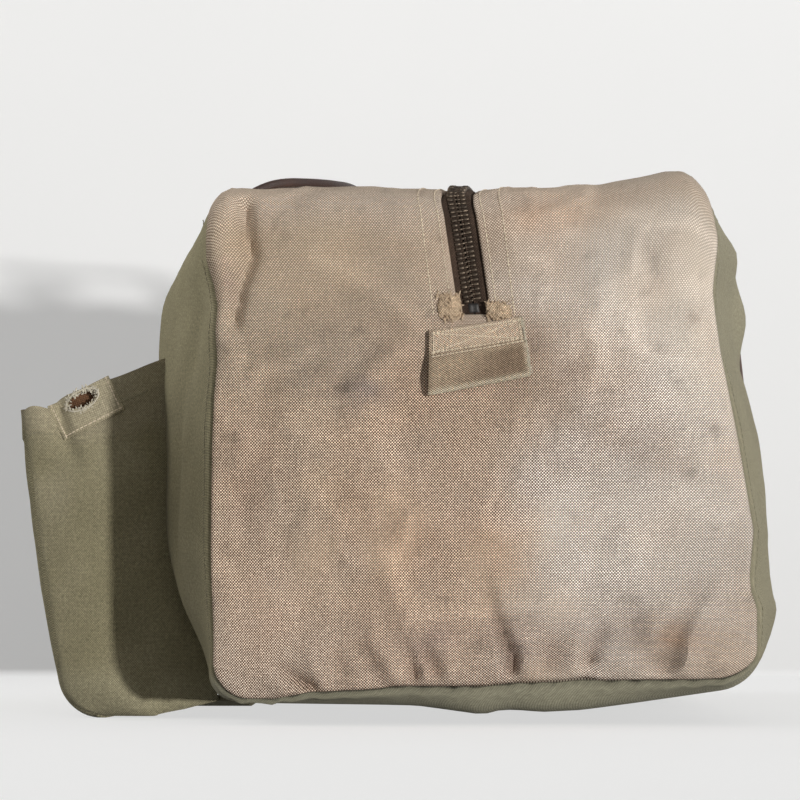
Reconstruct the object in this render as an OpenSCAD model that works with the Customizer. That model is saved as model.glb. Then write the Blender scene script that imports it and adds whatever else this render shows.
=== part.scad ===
// Canvas duffel bag with a zipped top, leather handles and a side pocket.
// Millimetres, +Z up, length along Y, near end at -Y, pocket on -X, floor at Z = 0.

/* [Body] */
// Length over the two end seams
body_len = 524; // [440:1:600]
// Height of the top above the floor
body_h = 270; // [240:1:310]
// Width of an end panel at its foot
foot_w = 272; // [240:1:310]
// Width of an end panel at its top
top_w = 254; // [230:1:290]
// How far the soft left side, with the pocket, swells out at mid-length
left_swell = 34; // [15:1:42]
// How far the soft right side swells out at mid-length
right_swell = 19; // [12:1:40]
// Height of the left side's fullest part: 1 is half way up, more is higher
left_belly = 1.1; // [0.7:0.05:1.2]
// Height of the right side's fullest part: 1 is half way up, less is lower
right_belly = 0.75; // [0.7:0.05:1.2]
// How far the left side near the near end is drawn in low down and stands out high up
left_twist = 5; // [0:0.5:8]
// How far the right side near the near end stands out low down and is drawn in high up
right_twist = 7; // [0:0.5:9]
// How far the near foot is lifted off the floor, besides the seam
near_lift = 8; // [0:0.5:10]
// Thickness of the canvas
canvas_t = 2.2; // [1.6:0.1:3]
// Radius of the rolled edge between an end and the top
roll_r = 25; // [18:1:36]
// Radius of the two bottom long corners
foot_r = 18; // [12:1:26]
// How far the end seams lift off the floor
seam_lift = 12; // [6:1:18]
// Distance of a lip's fold line from the zip
fold_x = 46; // [36:1:50]

/* [Zip] */
// Width of the slot in the canvas
slot_w = 16; // [15.4:0.1:22]
// Width of the meshed chain
chain_w = 8; // [7:0.1:8.4]
// Spacing of the teeth along one row
tooth_pitch = 2.4; // [2.2:0.1:4]
// How far the zip runs down each end from the top
zip_drop = 58; // [45:1:90]
// Length of the fixed yoke at the far end of the top
yoke_len = 97; // [92:1:130]
// Length of a slider
slider_len = 24; // [20:1:28]
// Length of a slider's pull
pull_len = 30; // [24:1:34]

/* [Webbing tabs] */
// Width of the webbing
tab_w = 50; // [38:1:60]
// Height of the sewn part
tab_sewn = 15; // [12:1:26]
// Height of the free loop
tab_free = 18; // [12:1:28]
// Thickness of one layer of webbing
web_t = 1.5; // [1.2:0.1:2]

/* [Pocket] */
// Length of the pocket
pocket_len = 330; // [240:1:360]
// Height of the pocket's front rim
pocket_h = 163; // [130:1:180]
// How far the pocket's foot stands out from the end panel's foot
pocket_out = 79; // [60:1:90]
// Radius of the pocket's bottom edge
pocket_r = 22; // [12:1:30]
// Lean of the pocket's front
pocket_lean = 8.5; // [4:0.5:12]
// How far the pocket's front swells out at mid-length
pocket_belly = 7; // [0:0.5:10]
// How far the pocket's front rim sags at mid-length
pocket_sag = 3.5; // [0:0.5:8]
// How far the rim of the pocket's ends climbs from the front to the bag
pocket_climb = 25; // [0:1:30]
// Distance of the eyelet's middle from the pocket's front
eyelet_in = 24; // [20:1:40]
// Length of the eyelet
eyelet_len = 17; // [12:1:20]
// Height of the eyelet
eyelet_h = 8; // [6:0.5:10]

/* [Handles] */
// Distance between the middles of a handle's legs
leg_gap = 150; // [120:2:180]
// Width of the leather strap
strap_w = 30; // [24:1:34]
// Thickness of the leather strap
strap_t = 5; // [4:0.2:6]
// Radius of the wire of the rings
wire_r = 2.3; // [1.8:0.1:2.6]
// Depth of the rings below the top
ring_drop = 54; // [48:1:64]
// Distance between the two long bars of a ring
ring_reach = 15.8; // [14:0.1:20]
// Height of the leather chapes
chape_h = 58; // [44:1:72]
// Length of a handle from its rings to the outer edge of its bow
strap_len = 128; // [120:1:140]
// Radius of the left strap's bend over the top edge
left_bend = 45; // [36:1:54]
// Radius of the right strap's bend over the top edge
right_bend = 36; // [32:1:48]
// Length of the left strap from its ring up to the bend
left_rise = 54; // [34:1:58]
// Length of the right strap from its ring up to the bend
right_rise = 34; // [28:1:44]
// How far the left handle has dropped inward
left_flop = 22; // [0:1:23]
// How far the right handle has dropped inward
right_flop = 9; // [0:1:10]

/* [Hidden] */
$fn = 48;
// clearance of pieces that move, and of seams that are only laid together
gap = 0.3;
// clearance of layers that are sewn flat on each other
sew = 0.1;
end_y = body_len / 2;
flat_y = end_y - roll_r;
yoke_y = flat_y - yoke_len;
zip_foot = body_h - zip_drop;
tape_t = 0.8;
tape_w = 14;
tooth_t = 3;
tooth_w = tooth_pitch * 0.42;
tooth_reach = 0.9;
spine_in = chain_w / 4;
tape_top = body_h - canvas_t - sew;
tape_mid = tape_top - tape_t / 2;
stop_h = 6;

// outer shape of the soft body

function half(z) = foot_w / 2 + (top_w - foot_w) / 2 * z / body_h;
function rim_z(y) = body_h - roll_r + sqrt(max(0, roll_r * roll_r - pow(max(0, abs(y) - flat_y), 2)));
// share of the near end's own shape at each station, none from the near handle legs on
near_from = leg_gap / 2 + 45;
function near(y) = pow(max(0, -y - near_from) / (end_y - near_from), 1.2);
function foot_z(y) = seam_lift * pow(max(0, (abs(y) - end_y + roll_r) / roll_r), 2) + near_lift * near(y);
// swell of a side, k is its largest amount, the height of its fullest part and its twist near the near end
function swell(y, z, k) = k[0] * (1 - pow(min(1, abs(y) / end_y), 3.5))
    * (1 - pow(min(1, abs(2 * pow(max(0, z / rim_z(y)), k[1]) - 1)), 3.5))
    + k[2] * near(y) * sin(360 * min(1, max(0, z / (body_h - roll_r))));
left_side = [left_swell, left_belly, -left_twist];
right_side = [right_swell, right_belly, right_twist];
function side_x(y, z, k) = half(z) + swell(y, z, k);
function knee_z(y) = foot_z(y) + foot_r;
function knee_x(y, k) = side_x(y, knee_z(y), k) - foot_r;
// outside of the wrap at any height, corner included
function wrap_x(y, z, k) = z >= knee_z(y) ? side_x(y, z, k)
    : knee_x(y, k) + sqrt(max(0, foot_r * foot_r - pow(knee_z(y) - z, 2)));

side_steps = 9;
stations = [for (s = [-1, 1]) for (f = s < 0 ? [1, 0.985, 0.955, 0.905, 0.84, 0.74, 0.63, 0.46, 0.25, 0]
    : [0.25, 0.46, 0.63, 0.74, 0.84, 0.905, 0.955, 0.985, 1]) s * f * end_y];

// half of a section, from the rim down to the floor, at one station and drawn in by d
function half_section(y, d, k) = concat(
    [for (i = [0 : side_steps]) let (z = knee_z(y) + (rim_z(y) - knee_z(y)) * (1 + cos(180 * i / side_steps)) / 2)
        [side_x(y, z, k) - d, z]],
    [for (a = [22.5 : 22.5 : 90]) [knee_x(y, k) + (foot_r - d) * cos(a), knee_z(y) - (foot_r - d) * sin(a)]],
    [[knee_x(y, k) / 2, foot_z(y) + d]]);
function flip(list) = [for (i = [len(list) - 1 : -1 : 0]) list[i]];
function section(y, d) = concat([for (p = half_section(y, d, left_side)) [-p[0], p[1]]],
    [[0, foot_z(y) + d]], flip(half_section(y, d, right_side)));

// closes a grid of outer points over a grid of inner points; rows run along the piece
module shell(outer, inner) {
    rows = len(outer);
    cols = len(outer[0]);
    n = rows * cols;
    points = concat([for (r = outer) each r], [for (r = inner) each r]);
    faces = concat(
        [for (i = [0 : rows - 2]) for (j = [0 : cols - 2]) let (a = i * cols + j) each
            [[a, a + 1, a + cols + 1], [a, a + cols + 1, a + cols],
             [n + a, n + a + cols + 1, n + a + 1], [n + a, n + a + cols, n + a + cols + 1]]],
        [for (i = [0 : rows - 2]) let (a = i * cols, b = a + cols - 1) each
            [[a, a + cols, n + a + cols], [a, n + a + cols, n + a],
             [b, n + b + cols, b + cols], [b, n + b, n + b + cols]]],
        [for (j = [0 : cols - 2]) let (a = j, b = (rows - 1) * cols + j) each
            [[a, n + a + 1, a + 1], [a, n + a, n + a + 1],
             [b, b + 1, n + b + 1], [b, n + b + 1, n + b]]]);
    polyhedron(points, faces, convexity = 8);
}

module body_wrap() color("#6f6c4f")
    shell([for (y = stations) [for (p = section(y, 0)) [p[0], y, p[1]]]],
        [for (y = stations) [for (p = section(y, canvas_t)) [p[0], y, p[1]]]]);

// end and top panels, laid into the rim of the wrap

// extrudes a drawing in (Y, Z) along X
module along_x(length) rotate([90, 0, 90]) linear_extrude(length, center = true) children();

// extrudes a drawing in (X, Z) along Y, from y0 to y1
module along_y(y0, y1) translate([0, y1, 0]) rotate([90, 0, 0]) linear_extrude(y1 - y0) children();

// the rolled end of the strip in (Y, Z), near end, between two depths under the canvas face
module rolled_strip(d0, d1, z0) {
    translate([-end_y + d0, z0]) square([d1 - d0, body_h - roll_r - z0]);
    translate([-flat_y, body_h - roll_r]) intersection() {
        difference() {
            circle(roll_r - d0);
            circle(roll_r - d1);
        }
        translate([-roll_r, 0]) square(roll_r);
    }
}

// what the wrap's rim leaves free at one end, in (X, Z)
module rim_outline(y) polygon(concat(section(y, canvas_t + gap),
    [for (s = [1, -1]) [s * (half(body_h + 20) - canvas_t - gap), body_h + 20]]));

// drawn at the near end, with the outline of the wrap at y
module end_panel(y) difference() {
    intersection() {
        along_x(foot_w + 20) rolled_strip(0, canvas_t, 0);
        along_y(-end_y - 1, -flat_y + 1) rim_outline(y);
    }
    translate([-slot_w / 2, -end_y - 1, zip_foot - stop_h - 1]) cube([slot_w, roll_r + 2, zip_drop + stop_h + 2]);
}

module near_end_panel() color("#a08a72") end_panel(-end_y);

module far_end_panel() color("#a08a72") {
    mirror([0, 1, 0]) end_panel(end_y);
    for (s = [0, 1]) mirror([s, 0, 0]) translate([slot_w / 2, yoke_y + gap, body_h - canvas_t])
        cube([fold_x - slot_w / 2, yoke_len - gap, canvas_t]);
}

module top_panel() along_y(-flat_y + gap, flat_y - gap)
    polygon([[fold_x + gap, body_h - canvas_t], [half(body_h - canvas_t) - canvas_t - gap, body_h - canvas_t],
        [half(body_h) - canvas_t - gap, body_h], [fold_x + gap, body_h]]);

module top_left_panel() color("#a08a72") mirror([1, 0, 0]) top_panel();

module top_right_panel() color("#a08a72") top_panel();

module lip() translate([slot_w / 2, -flat_y + gap, body_h - canvas_t])
    cube([fold_x - slot_w / 2, yoke_y + flat_y - 2 * gap, canvas_t]);

module left_lip() color("#a08a72") mirror([1, 0, 0]) lip();

module right_lip() color("#a08a72") lip();

// zip

module lip_tape() translate([chain_w / 2 + sew / 2, -flat_y + gap, tape_top - tape_t])
    cube([tape_w, yoke_y + flat_y - 2 * gap, tape_t]);

module zip_tape_left() color("#3a2d25") mirror([1, 0, 0]) lip_tape();

module zip_tape_right() color("#3a2d25") lip_tape();

module end_tape() for (s = [-1, 1]) translate([s * (chain_w / 2 + sew / 2 + tape_w / 2), 0, 0])
    along_x(tape_w) rolled_strip(canvas_t + sew, canvas_t + sew + tape_t, zip_foot - stop_h - 8);

module zip_tape_near() color("#3a2d25") end_tape();

module zip_tape_far() color("#3a2d25") {
    mirror([0, 1, 0]) end_tape();
    for (s = [0, 1]) mirror([s, 0, 0]) translate([chain_w / 2 + sew / 2, yoke_y + gap, tape_top - tape_t])
        cube([tape_w, yoke_len - gap, tape_t]);
}

// one row of teeth as a comb in (across, along), its teeth pointing at the chain's middle
module comb(length, shift) {
    count = floor((length - tooth_w - shift) / tooth_pitch);
    polygon(concat([[chain_w / 2, 0], [spine_in, 0]],
        [for (k = [0 : count]) let (a = shift + tooth_w / 2 + k * tooth_pitch + 0.05) each
            [[spine_in, a - tooth_w / 2], [-tooth_reach, a - tooth_w / 2],
             [-tooth_reach, a + tooth_w / 2], [spine_in, a + tooth_w / 2]]],
        [[spine_in, length], [chain_w / 2, length]]));
}

// a row lying on the top from y0 to y1
module top_row(y0, y1, shift) translate([0, y0, tape_mid - tooth_t / 2])
    linear_extrude(tooth_t) comb(y1 - y0, shift);

// a row on the near end: the upright run, and the bend over the rolled edge
module end_row(shift) {
    depth = body_h - tape_mid;
    bend_r = roll_r - depth;
    bend_teeth = floor(bend_r * PI / 2 / tooth_pitch);
    translate([0, -end_y + depth + tooth_t / 2, zip_foot]) rotate([90, 0, 0])
        linear_extrude(tooth_t) comb(zip_drop - roll_r, shift);
    translate([0, -flat_y, body_h - roll_r]) {
        translate([(chain_w / 2 + spine_in) / 2, 0, 0]) along_x(chain_w / 2 - spine_in) intersection() {
            difference() {
                circle(bend_r + tooth_t / 2);
                circle(bend_r - tooth_t / 2);
            }
            translate([-roll_r, 0]) square(roll_r);
        }
        for (k = [0 : bend_teeth - 1]) rotate([-(k + 0.25 + shift / tooth_pitch) * 90 / bend_teeth, 0, 0])
            translate([-tooth_reach, -bend_r - tooth_t / 2, -tooth_w / 2])
            cube([spine_in + tooth_reach + 0.4, tooth_t, tooth_w]);
    }
}

module zip_teeth_left() color("#4b4740") mirror([1, 0, 0]) top_row(-flat_y + gap, yoke_y - gap, 0);

module zip_teeth_right() color("#4b4740") top_row(-flat_y + gap, yoke_y - gap, tooth_pitch / 2);

module zip_teeth_near() color("#4b4740") {
    end_row(0);
    mirror([1, 0, 0]) end_row(tooth_pitch / 2);
}

module zip_teeth_far() color("#4b4740") for (s = [0, 1]) mirror([s, 0, 0]) {
    mirror([0, 1, 0]) end_row(s * tooth_pitch / 2);
    top_row(yoke_y + gap, flat_y, s * tooth_pitch / 2);
}

module end_stop() translate([-chain_w / 2 + 0.6, -end_y + body_h - tape_mid - tooth_t / 2, zip_foot - stop_h - sew])
    cube([chain_w - 1.2, tooth_t, stop_h]);

module zip_stop_near() color("#5b5d60") end_stop();

module zip_stop_far() color("#5b5d60") mirror([0, 1, 0]) end_stop();

// sliders: two plates with flanges round the chain, and lugs that hold the pull's pin

plate_t = 1.7;
slider_hw = slot_w / 2 - 1;
flange_in = chain_w / 2 + 1.1;
plate_low = tape_mid + tooth_t / 2 + gap;
plate_under = tape_mid - tooth_t / 2 - gap;
plate_top = plate_low + plate_t;
pin_r = 1;
eye_r = 2.1;
pin_z = plate_top + eye_r + 0.2;
pin_back = 5;
front_y = yoke_y + 4;
rear_y = front_y + pin_back + pull_len + 7;

module slider(y0) {
    along_y(y0, y0 + slider_len) {
        translate([-slider_hw, plate_low]) square([2 * slider_hw, plate_t]);
        translate([-slider_hw, plate_under - plate_t]) square([2 * slider_hw, plate_t]);
        for (s = [0, 1]) mirror([s, 0]) {
            translate([flange_in, tape_top + gap]) square([slider_hw - flange_in, plate_low - tape_top - gap]);
            translate([flange_in, plate_under])
                square([slider_hw - flange_in, tape_top - tape_t - gap - plate_under]);
        }
    }
    for (s = [0, 1]) mirror([s, 0, 0]) translate([2.7, 0, 0]) rotate([90, 0, 90]) linear_extrude(1.5) {
        translate([y0 + pin_back, pin_z]) circle(eye_r);
        translate([y0 + pin_back - eye_r, plate_low + 0.5]) square([2 * eye_r, pin_z - plate_low - 0.5]);
    }
    translate([0, y0 + pin_back, pin_z]) rotate([0, 90, 0]) cylinder(r = pin_r, h = 7, center = true);
}

module slider_front() color("#57534c") slider(front_y);

module slider_rear() color("#57534c") slider(rear_y);

module pull(y0) translate([0, y0 + pin_back, pin_z]) difference() {
    union() {
        rotate([0, 90, 0]) cylinder(r = eye_r, h = 4.8, center = true);
        translate([-2.4, 0, -0.9]) cube([4.8, 5, 1.8]);
        translate([-4, 3, -0.9]) cube([8, pull_len - 7, 1.8]);
        translate([0, pull_len - 4, -0.9]) cylinder(r = 4, h = 1.8);
    }
    rotate([0, 90, 0]) cylinder(r = pin_r + gap, h = 8, center = true);
    translate([0, pull_len - 4, -2]) cylinder(r = 1.8, h = 4);
}

module pull_front() color("#57534c") pull(front_y);

module pull_rear() color("#57534c") pull(rear_y);

// webbing tabs below the two ends of the zip

tab_top = zip_foot - stop_h - 3;
tab_fold = tab_top - tab_sewn;
loop_t = 2 * web_t + 2;

module tab_patch() translate([-tab_w / 2, -end_y - sew - 2 * web_t, tab_fold]) cube([tab_w, 2 * web_t, tab_sewn]);

module near_tab_patch() color("#9c8868") tab_patch();

module far_tab_patch() color("#9c8868") mirror([0, 1, 0]) tab_patch();

module tab_loop() along_x(tab_w) translate([-end_y - gap - loop_t / 2, tab_fold - gap]) difference() {
    union() {
        translate([-loop_t / 2, -tab_free + loop_t / 2]) square([loop_t, tab_free - loop_t / 2]);
        translate([0, -tab_free + loop_t / 2]) circle(loop_t / 2);
    }
    translate([-loop_t / 2 + web_t, -tab_free + loop_t / 2]) square([loop_t - 2 * web_t, tab_free]);
    translate([0, -tab_free + loop_t / 2]) circle(loop_t / 2 - web_t);
}

module near_tab_loop() color("#9c8868") tab_loop();

module far_tab_loop() color("#9c8868") mirror([0, 1, 0]) tab_loop();

// open pocket on the left side; o is the distance out from the middle of the bag

pocket_y = pocket_len / 2;
pocket_foot = 1.5;
pocket_o = foot_w / 2 + pocket_out - pocket_r;
front_run = (pocket_h - pocket_foot - pocket_r + pocket_r * sin(pocket_lean)) / cos(pocket_lean);
front_dir = [sin(pocket_lean), cos(pocket_lean)];
back_rim = pocket_h + pocket_climb;

// the front and bottom of the pocket from its rim inward, drawn in by d, as (o, z)
function pocket_path(d) = let (c = [pocket_o, pocket_foot + pocket_r],
    foot = c + (pocket_r - d) * [cos(pocket_lean), -sin(pocket_lean)])
    concat([foot + front_run * front_dir, foot],
        [for (i = [1 : 5]) let (a = pocket_lean + (90 - pocket_lean) * i / 5)
            c + (pocket_r - d) * [cos(a), -sin(a)]]);
function mirror_x(list) = [for (p = list) [-p[0], p[1]]];

pocket_rows = concat([-pocket_y, -0.88 * pocket_y], [for (s = stations) if (abs(s) < 0.85 * pocket_y) s],
    [0.88 * pocket_y, pocket_y]);
front_steps = 6;
// one row of the front at a station, from its rim down and in along the floor to the bag, drawn in by d
function pocket_row(y, d) = let (line = pocket_path(d), mid = 1 - pow(abs(y) / pocket_y, 2.5)) concat(
    [for (i = [0 : front_steps - 1]) let (f = i / front_steps, p = line[0] + (line[1] - line[0]) * f)
        [-p[0] - pocket_belly * mid * sin(180 * f), y, p[1] - pocket_sag * mid * pow(1 - f, 4)]],
    [for (i = [1 : len(line) - 1]) [-line[i][0], y, line[i][1]]],
    [[-wrap_x(y, pocket_foot + canvas_t, left_side) - gap, y, pocket_foot + d]]);

module pocket_front() color("#6f6c4f")
    shell([for (y = pocket_rows) pocket_row(y, 0)], [for (y = pocket_rows) pocket_row(y, canvas_t)]);

// a pocket's end piece in (X, Z), fitted between the bag's side and the front
module pocket_end_outline(y) let (low = pocket_foot + canvas_t + sew,
    knee = [knee_x(y, left_side), knee_z(y)], low_a = asin(min(1, (knee[1] - low) / (foot_r + gap))))
    polygon(mirror_x(concat(
        [for (i = [6 : -1 : 1]) knee + (foot_r + gap) * [cos(low_a * i / 6), -sin(low_a * i / 6)]],
        [for (i = [0 : 24]) let (z = knee[1] + (back_rim - knee[1]) * i / 24) [side_x(y, z, left_side) + gap, z]],
        pocket_path(canvas_t + sew))));

rim_slope = atan2(back_rim - pocket_h, pocket_path(canvas_t)[0][0] - wrap_x(pocket_y, back_rim, left_side));
eyelet_at = [pocket_path(canvas_t)[0][0] - eyelet_in, pocket_h - 0.4];

// places a drawing at the eyelet, its X along the rim
module at_eyelet() translate([-eyelet_at[0], eyelet_at[1]]) rotate(rim_slope) children();

module oval(length, height) {
    square([length - height, height], center = true);
    for (s = [-1, 1]) translate([s * (length - height) / 2, 0]) circle(height / 2);
}

// drawn at the near end, fitted to the bag's side at y
module pocket_end(y) along_y(-pocket_y, -pocket_y + canvas_t) difference() {
    pocket_end_outline(y);
    at_eyelet() oval(eyelet_len, eyelet_h);
}

module pocket_near_end() color("#6f6c4f") pocket_end(-pocket_y + canvas_t);

module pocket_far_end() color("#6f6c4f") mirror([0, 1, 0]) pocket_end(pocket_y - canvas_t);

patch_t = 1.5;

module eyelet_patch() along_y(-pocket_y - sew - patch_t, -pocket_y - sew) at_eyelet() difference() {
    translate([-eyelet_len, -eyelet_h / 2 - 14]) square([2 * eyelet_len, eyelet_h + 16]);
    oval(eyelet_len, eyelet_h);
}

module near_eyelet_patch() color("#7a775a") eyelet_patch();

module far_eyelet_patch() color("#7a775a") mirror([0, 1, 0]) eyelet_patch();

module eyelet_rim() {
    top = -pocket_y - 2 * sew - patch_t;
    along_y(top - 0.8, top) at_eyelet() difference() {
        oval(eyelet_len + 4, eyelet_h + 3.6);
        oval(eyelet_len, eyelet_h);
    }
}

module near_eyelet_rim() color("#b8b0a0") eyelet_rim();

module far_eyelet_rim() color("#b8b0a0") mirror([0, 1, 0]) eyelet_rim();

// leather chapes, rings and handles; drawn for the left side, on a side that swells by k

chape_t = 3;
chape_w = strap_w + 4;
barrel_r = wire_r + 2.2;
leg_y = leg_gap / 2;
low_z = body_h - ring_drop;
pin_up = low_z + ring_reach;
function low_o(k) = side_x(leg_y - chape_w / 2, low_z, k) + barrel_r + 0.5;
function pin_o(k) = side_x(leg_y - chape_w / 2, pin_up, k) + barrel_r + 1;
ring_hw = strap_w / 2 + wire_r + 2.6;

module bar_y(o, z, y, r, length) translate([-o, y, z]) rotate([90, 0, 0]) cylinder(r = r, h = length, center = true);

module chape(y0, k) {
    ys = [for (i = [0 : 3]) y0 - chape_w / 2 + chape_w * i / 3];
    zs = [for (i = [0 : 5]) low_z - chape_h * i / 5];
    difference() {
        union() {
            shell([for (y = ys) [for (z = zs) [-side_x(y, z, k) - sew * 2 - chape_t, y, z]]],
                [for (y = ys) [for (z = zs) [-side_x(y, z, k) - sew * 2, y, z]]]);
            bar_y(low_o(k), low_z, y0, barrel_r, strap_w);
        }
        bar_y(low_o(k), low_z, y0, wire_r + sew, chape_w + 10);
    }
}

module chapes(k) for (s = [-1, 1]) chape(s * leg_y, k);

module left_chapes() color("#4a3226") chapes(left_side);

module right_chapes() color("#4a3226") mirror([1, 0, 0]) chapes(right_side);

module ring(y0, k) {
    bar_y(low_o(k), low_z, y0, wire_r, 2 * ring_hw + 2 * wire_r);
    bar_y(pin_o(k), pin_up, y0, wire_r, 2 * ring_hw + 2 * wire_r);
    run = [pin_up - low_z, low_o(k) - pin_o(k)];
    for (s = [-1, 1]) translate([-low_o(k), y0 + s * ring_hw, low_z]) rotate([0, atan2(run[1], run[0]), 0])
        cylinder(r = wire_r - 0.2, h = norm(run));
}

module rings(k) for (s = [-1, 1]) ring(s * leg_y, k);

module left_rings() color("#6b5a3a") rings(left_side);

module right_rings() color("#6b5a3a") mirror([1, 0, 0]) rings(right_side);

// side view of the strap from its pin: up the side, round a bend, then flat over the top
rise_a = 80;
left_lie = [left_rise, left_bend, 14];
right_lie = [right_rise, right_bend, 10];
bow_v = strap_len - leg_y - strap_w / 2;

// lie is the run up to the bend, the bend's radius, and the slope of the flat part
function bend_run(lie) = lie[1] * (rise_a - lie[2]) * PI / 180;
function lean_at(v, lie) = rise_a - min(max(v - lie[0], 0), bend_run(lie)) / lie[1] * 180 / PI;
function strap_at(v, lie) = let (a = lean_at(v, lie), f = max(0, v - lie[0] - bend_run(lie)), r = min(v, lie[0]))
    [r * cos(rise_a) + lie[1] * (sin(rise_a) - sin(a)) + f * cos(lie[2]),
     r * sin(rise_a) + lie[1] * (cos(a) - cos(rise_a)) + f * sin(lie[2])];
function strap_point(u, v, s, lie) = let (p = strap_at(v, lie), a = lean_at(v, lie))
    [p[0] - s * sin(a), u, p[1] + s * cos(a)];

// stations of the bow in the flat: middle, and direction across
bow = concat(
    [for (i = [0 : 4]) [[-leg_y, 3.2 + (bow_v - 3.2) * i / 5], [-1, 0]]],
    [for (a = [180 : -7.5 : 0]) [[leg_y * cos(a), bow_v + leg_y * sin(a)], [cos(a), sin(a)]]],
    [for (i = [4 : -1 : 0]) [[leg_y, 3.2 + (bow_v - 3.2) * i / 5], [1, 0]]]);

function bow_row(b, s, lie) = [for (w = [-0.5, 0, 0.5]) let (p = b[0] + b[1] * w * strap_w)
    strap_point(p[0], p[1], s, lie)];

// a handle on a side that swells by k, dropped inward by an angle
module handle(k, flop, lie) translate([-pin_o(k), 0, pin_up]) rotate([0, flop, 0]) difference() {
    union() {
        shell([for (b = bow) bow_row(b, -strap_t / 2, lie)], [for (b = bow) bow_row(b, strap_t / 2, lie)]);
        for (s = [-1, 1]) bar_y(0, 0, s * leg_y, barrel_r, strap_w);
    }
    for (s = [-1, 1]) bar_y(0, 0, s * leg_y, wire_r + gap, strap_w + 20);
}

module left_handle() color("#4a3226") handle(left_side, left_flop, left_lie);

module right_handle() color("#4a3226") mirror([1, 0, 0]) handle(right_side, right_flop, right_lie);

body_wrap();
near_end_panel();
far_end_panel();
top_left_panel();
top_right_panel();
left_lip();
right_lip();
zip_tape_left();
zip_tape_right();
zip_teeth_left();
zip_teeth_right();
zip_tape_near();
zip_tape_far();
zip_teeth_near();
zip_teeth_far();
zip_stop_near();
zip_stop_far();
slider_front();
slider_rear();
pull_front();
pull_rear();
near_tab_patch();
far_tab_patch();
near_tab_loop();
far_tab_loop();
pocket_front();
pocket_near_end();
pocket_far_end();
near_eyelet_patch();
far_eyelet_patch();
near_eyelet_rim();
far_eyelet_rim();
left_chapes();
right_chapes();
left_rings();
right_rings();
left_handle();
right_handle();
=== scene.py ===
import math

import bmesh
import bpy
import numpy as np
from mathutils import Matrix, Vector


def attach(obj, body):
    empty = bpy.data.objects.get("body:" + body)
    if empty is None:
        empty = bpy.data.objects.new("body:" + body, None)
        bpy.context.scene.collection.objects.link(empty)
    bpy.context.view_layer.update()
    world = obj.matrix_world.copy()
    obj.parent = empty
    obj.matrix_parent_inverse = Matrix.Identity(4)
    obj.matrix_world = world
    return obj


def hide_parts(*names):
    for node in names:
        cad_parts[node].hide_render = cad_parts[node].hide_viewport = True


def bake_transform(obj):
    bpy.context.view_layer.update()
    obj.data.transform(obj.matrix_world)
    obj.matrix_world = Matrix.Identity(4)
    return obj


# A worn canvas duffel bag: one tan strip over the ends and the top, an olive wrap round the sides and the
# floor, a zip with two sliders, webbing tabs, an open pocket, leather handles on wire rings.
# Shapes are worked out in millimetres on the same lines as the solids, then settled as soft cloth.
# x runs across the bag, y from the near end to the far end, z up.

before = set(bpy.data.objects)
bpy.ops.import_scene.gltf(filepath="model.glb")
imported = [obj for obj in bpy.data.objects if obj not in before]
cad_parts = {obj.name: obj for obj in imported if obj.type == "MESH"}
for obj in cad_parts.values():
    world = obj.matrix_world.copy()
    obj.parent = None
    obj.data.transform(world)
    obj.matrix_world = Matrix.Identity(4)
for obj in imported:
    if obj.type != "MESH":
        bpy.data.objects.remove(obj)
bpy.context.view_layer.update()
MM = 0.001

# ---- sizes shared with the solids

# end seams, end of the flat top, height of the top, radius of the rolled ends
END_Y, FLAT_Y, TOP_Z, ROLL = 262.0, 237.0, 270.0, 25.0
# half widths at the foot and the top, round of the lower edges, lift of the ends' bottom seams
FOOT_HALF, TOP_HALF, FOOT_R, SEAM_LIFT = 136.0, 127.0, 18.0, 12.0
# each side's swell, and the power that sets the height of its fullest part
LEFT_SIDE, RIGHT_SIDE = (34.0, 1.1), (19.0, 0.75)
# thickness of the canvas, and how far a tan edge lies inside its seam line
CANVAS, SEAM_IN = 2.0, 0.6
# fold line of the lips, and where the fixed yoke behind them starts
FOLD_X, YOKE_Y = 46.15, 140.0
# slot for the zip: half width, foot, round of its edge
SLOT, SLOT_FOOT, SLOT_R = 8.0, 205.0, 1.5
# zip: foot of the chain and of the tapes, the tapes' inner and outer edges, depth below the canvas
ZIP_FOOT, TAPE_FOOT, TAPE_IN, TAPE_OUT, TAPE_DEPTH = 212.0, 199.0, 2.9, 18.0, 2.7
# stops: lower and upper edge, half width; teeth: pitch, and a row's distance from the chain's middle
STOP_LOW, STOP_HIGH, STOP_HALF = 205.4, 211.6, 3.4
TOOTH_PITCH, TOOTH_X = 2.4, 1.55
# pocket: half length, rim at the front and at the bag, foot; middle and radius of its lower round, lean
POCKET_Y, POCKET_RIM, POCKET_BACK, POCKET_FOOT = 165.0, 163.0, 188.0, 1.5
POCKET_O, POCKET_R, POCKET_LEAN = 193.0, 22.0, math.radians(8.5)
# rings: place along the bag, radius of the leather round a bar, lower and upper bar, where their distance
# from the bag is taken; foot of the chapes; slope of a handle's first rise
LEG_Y, BARREL = 75.0, 4.5
RING_LOW, RING_HIGH, RING_Y, CHAPE_FOOT = 216.0, 231.8, 58.0, 158.0
RISE_A = math.radians(80)
# each handle's side, pin, lie (run up to the bend, its radius, slope of the flat part) and inward drop
HANDLES = {"left": (-1, 158.320, (50.0, 45.0, math.radians(26)), math.radians(22)),
           "right": (1, 144.619, (34.0, 36.0, math.radians(10)), math.radians(9))}
# the strip's run: 0 where the near end starts to roll over, then the top, then the far roll
ROLL_Z = TOP_Z - ROLL
ARC = ROLL * math.pi / 2
TOP_START, TOP_STOP = ARC, ARC + 2 * FLAT_Y
FAR_WALL = TOP_STOP + ARC
# the near end's own folds and stains stop this far up, measured over the roll
NEAR_REACH = 300.0

SIDES = (("left", -1), ("right", 1))
ENDS = (("near", False), ("far", True))


def s_of_y(y):
    """Place along the tan strip of a point on the top."""
    return TOP_START + FLAT_Y + y


def s_of_z(z):
    """Place along the tan strip of a point on the near end."""
    return z - ROLL_Z


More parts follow.
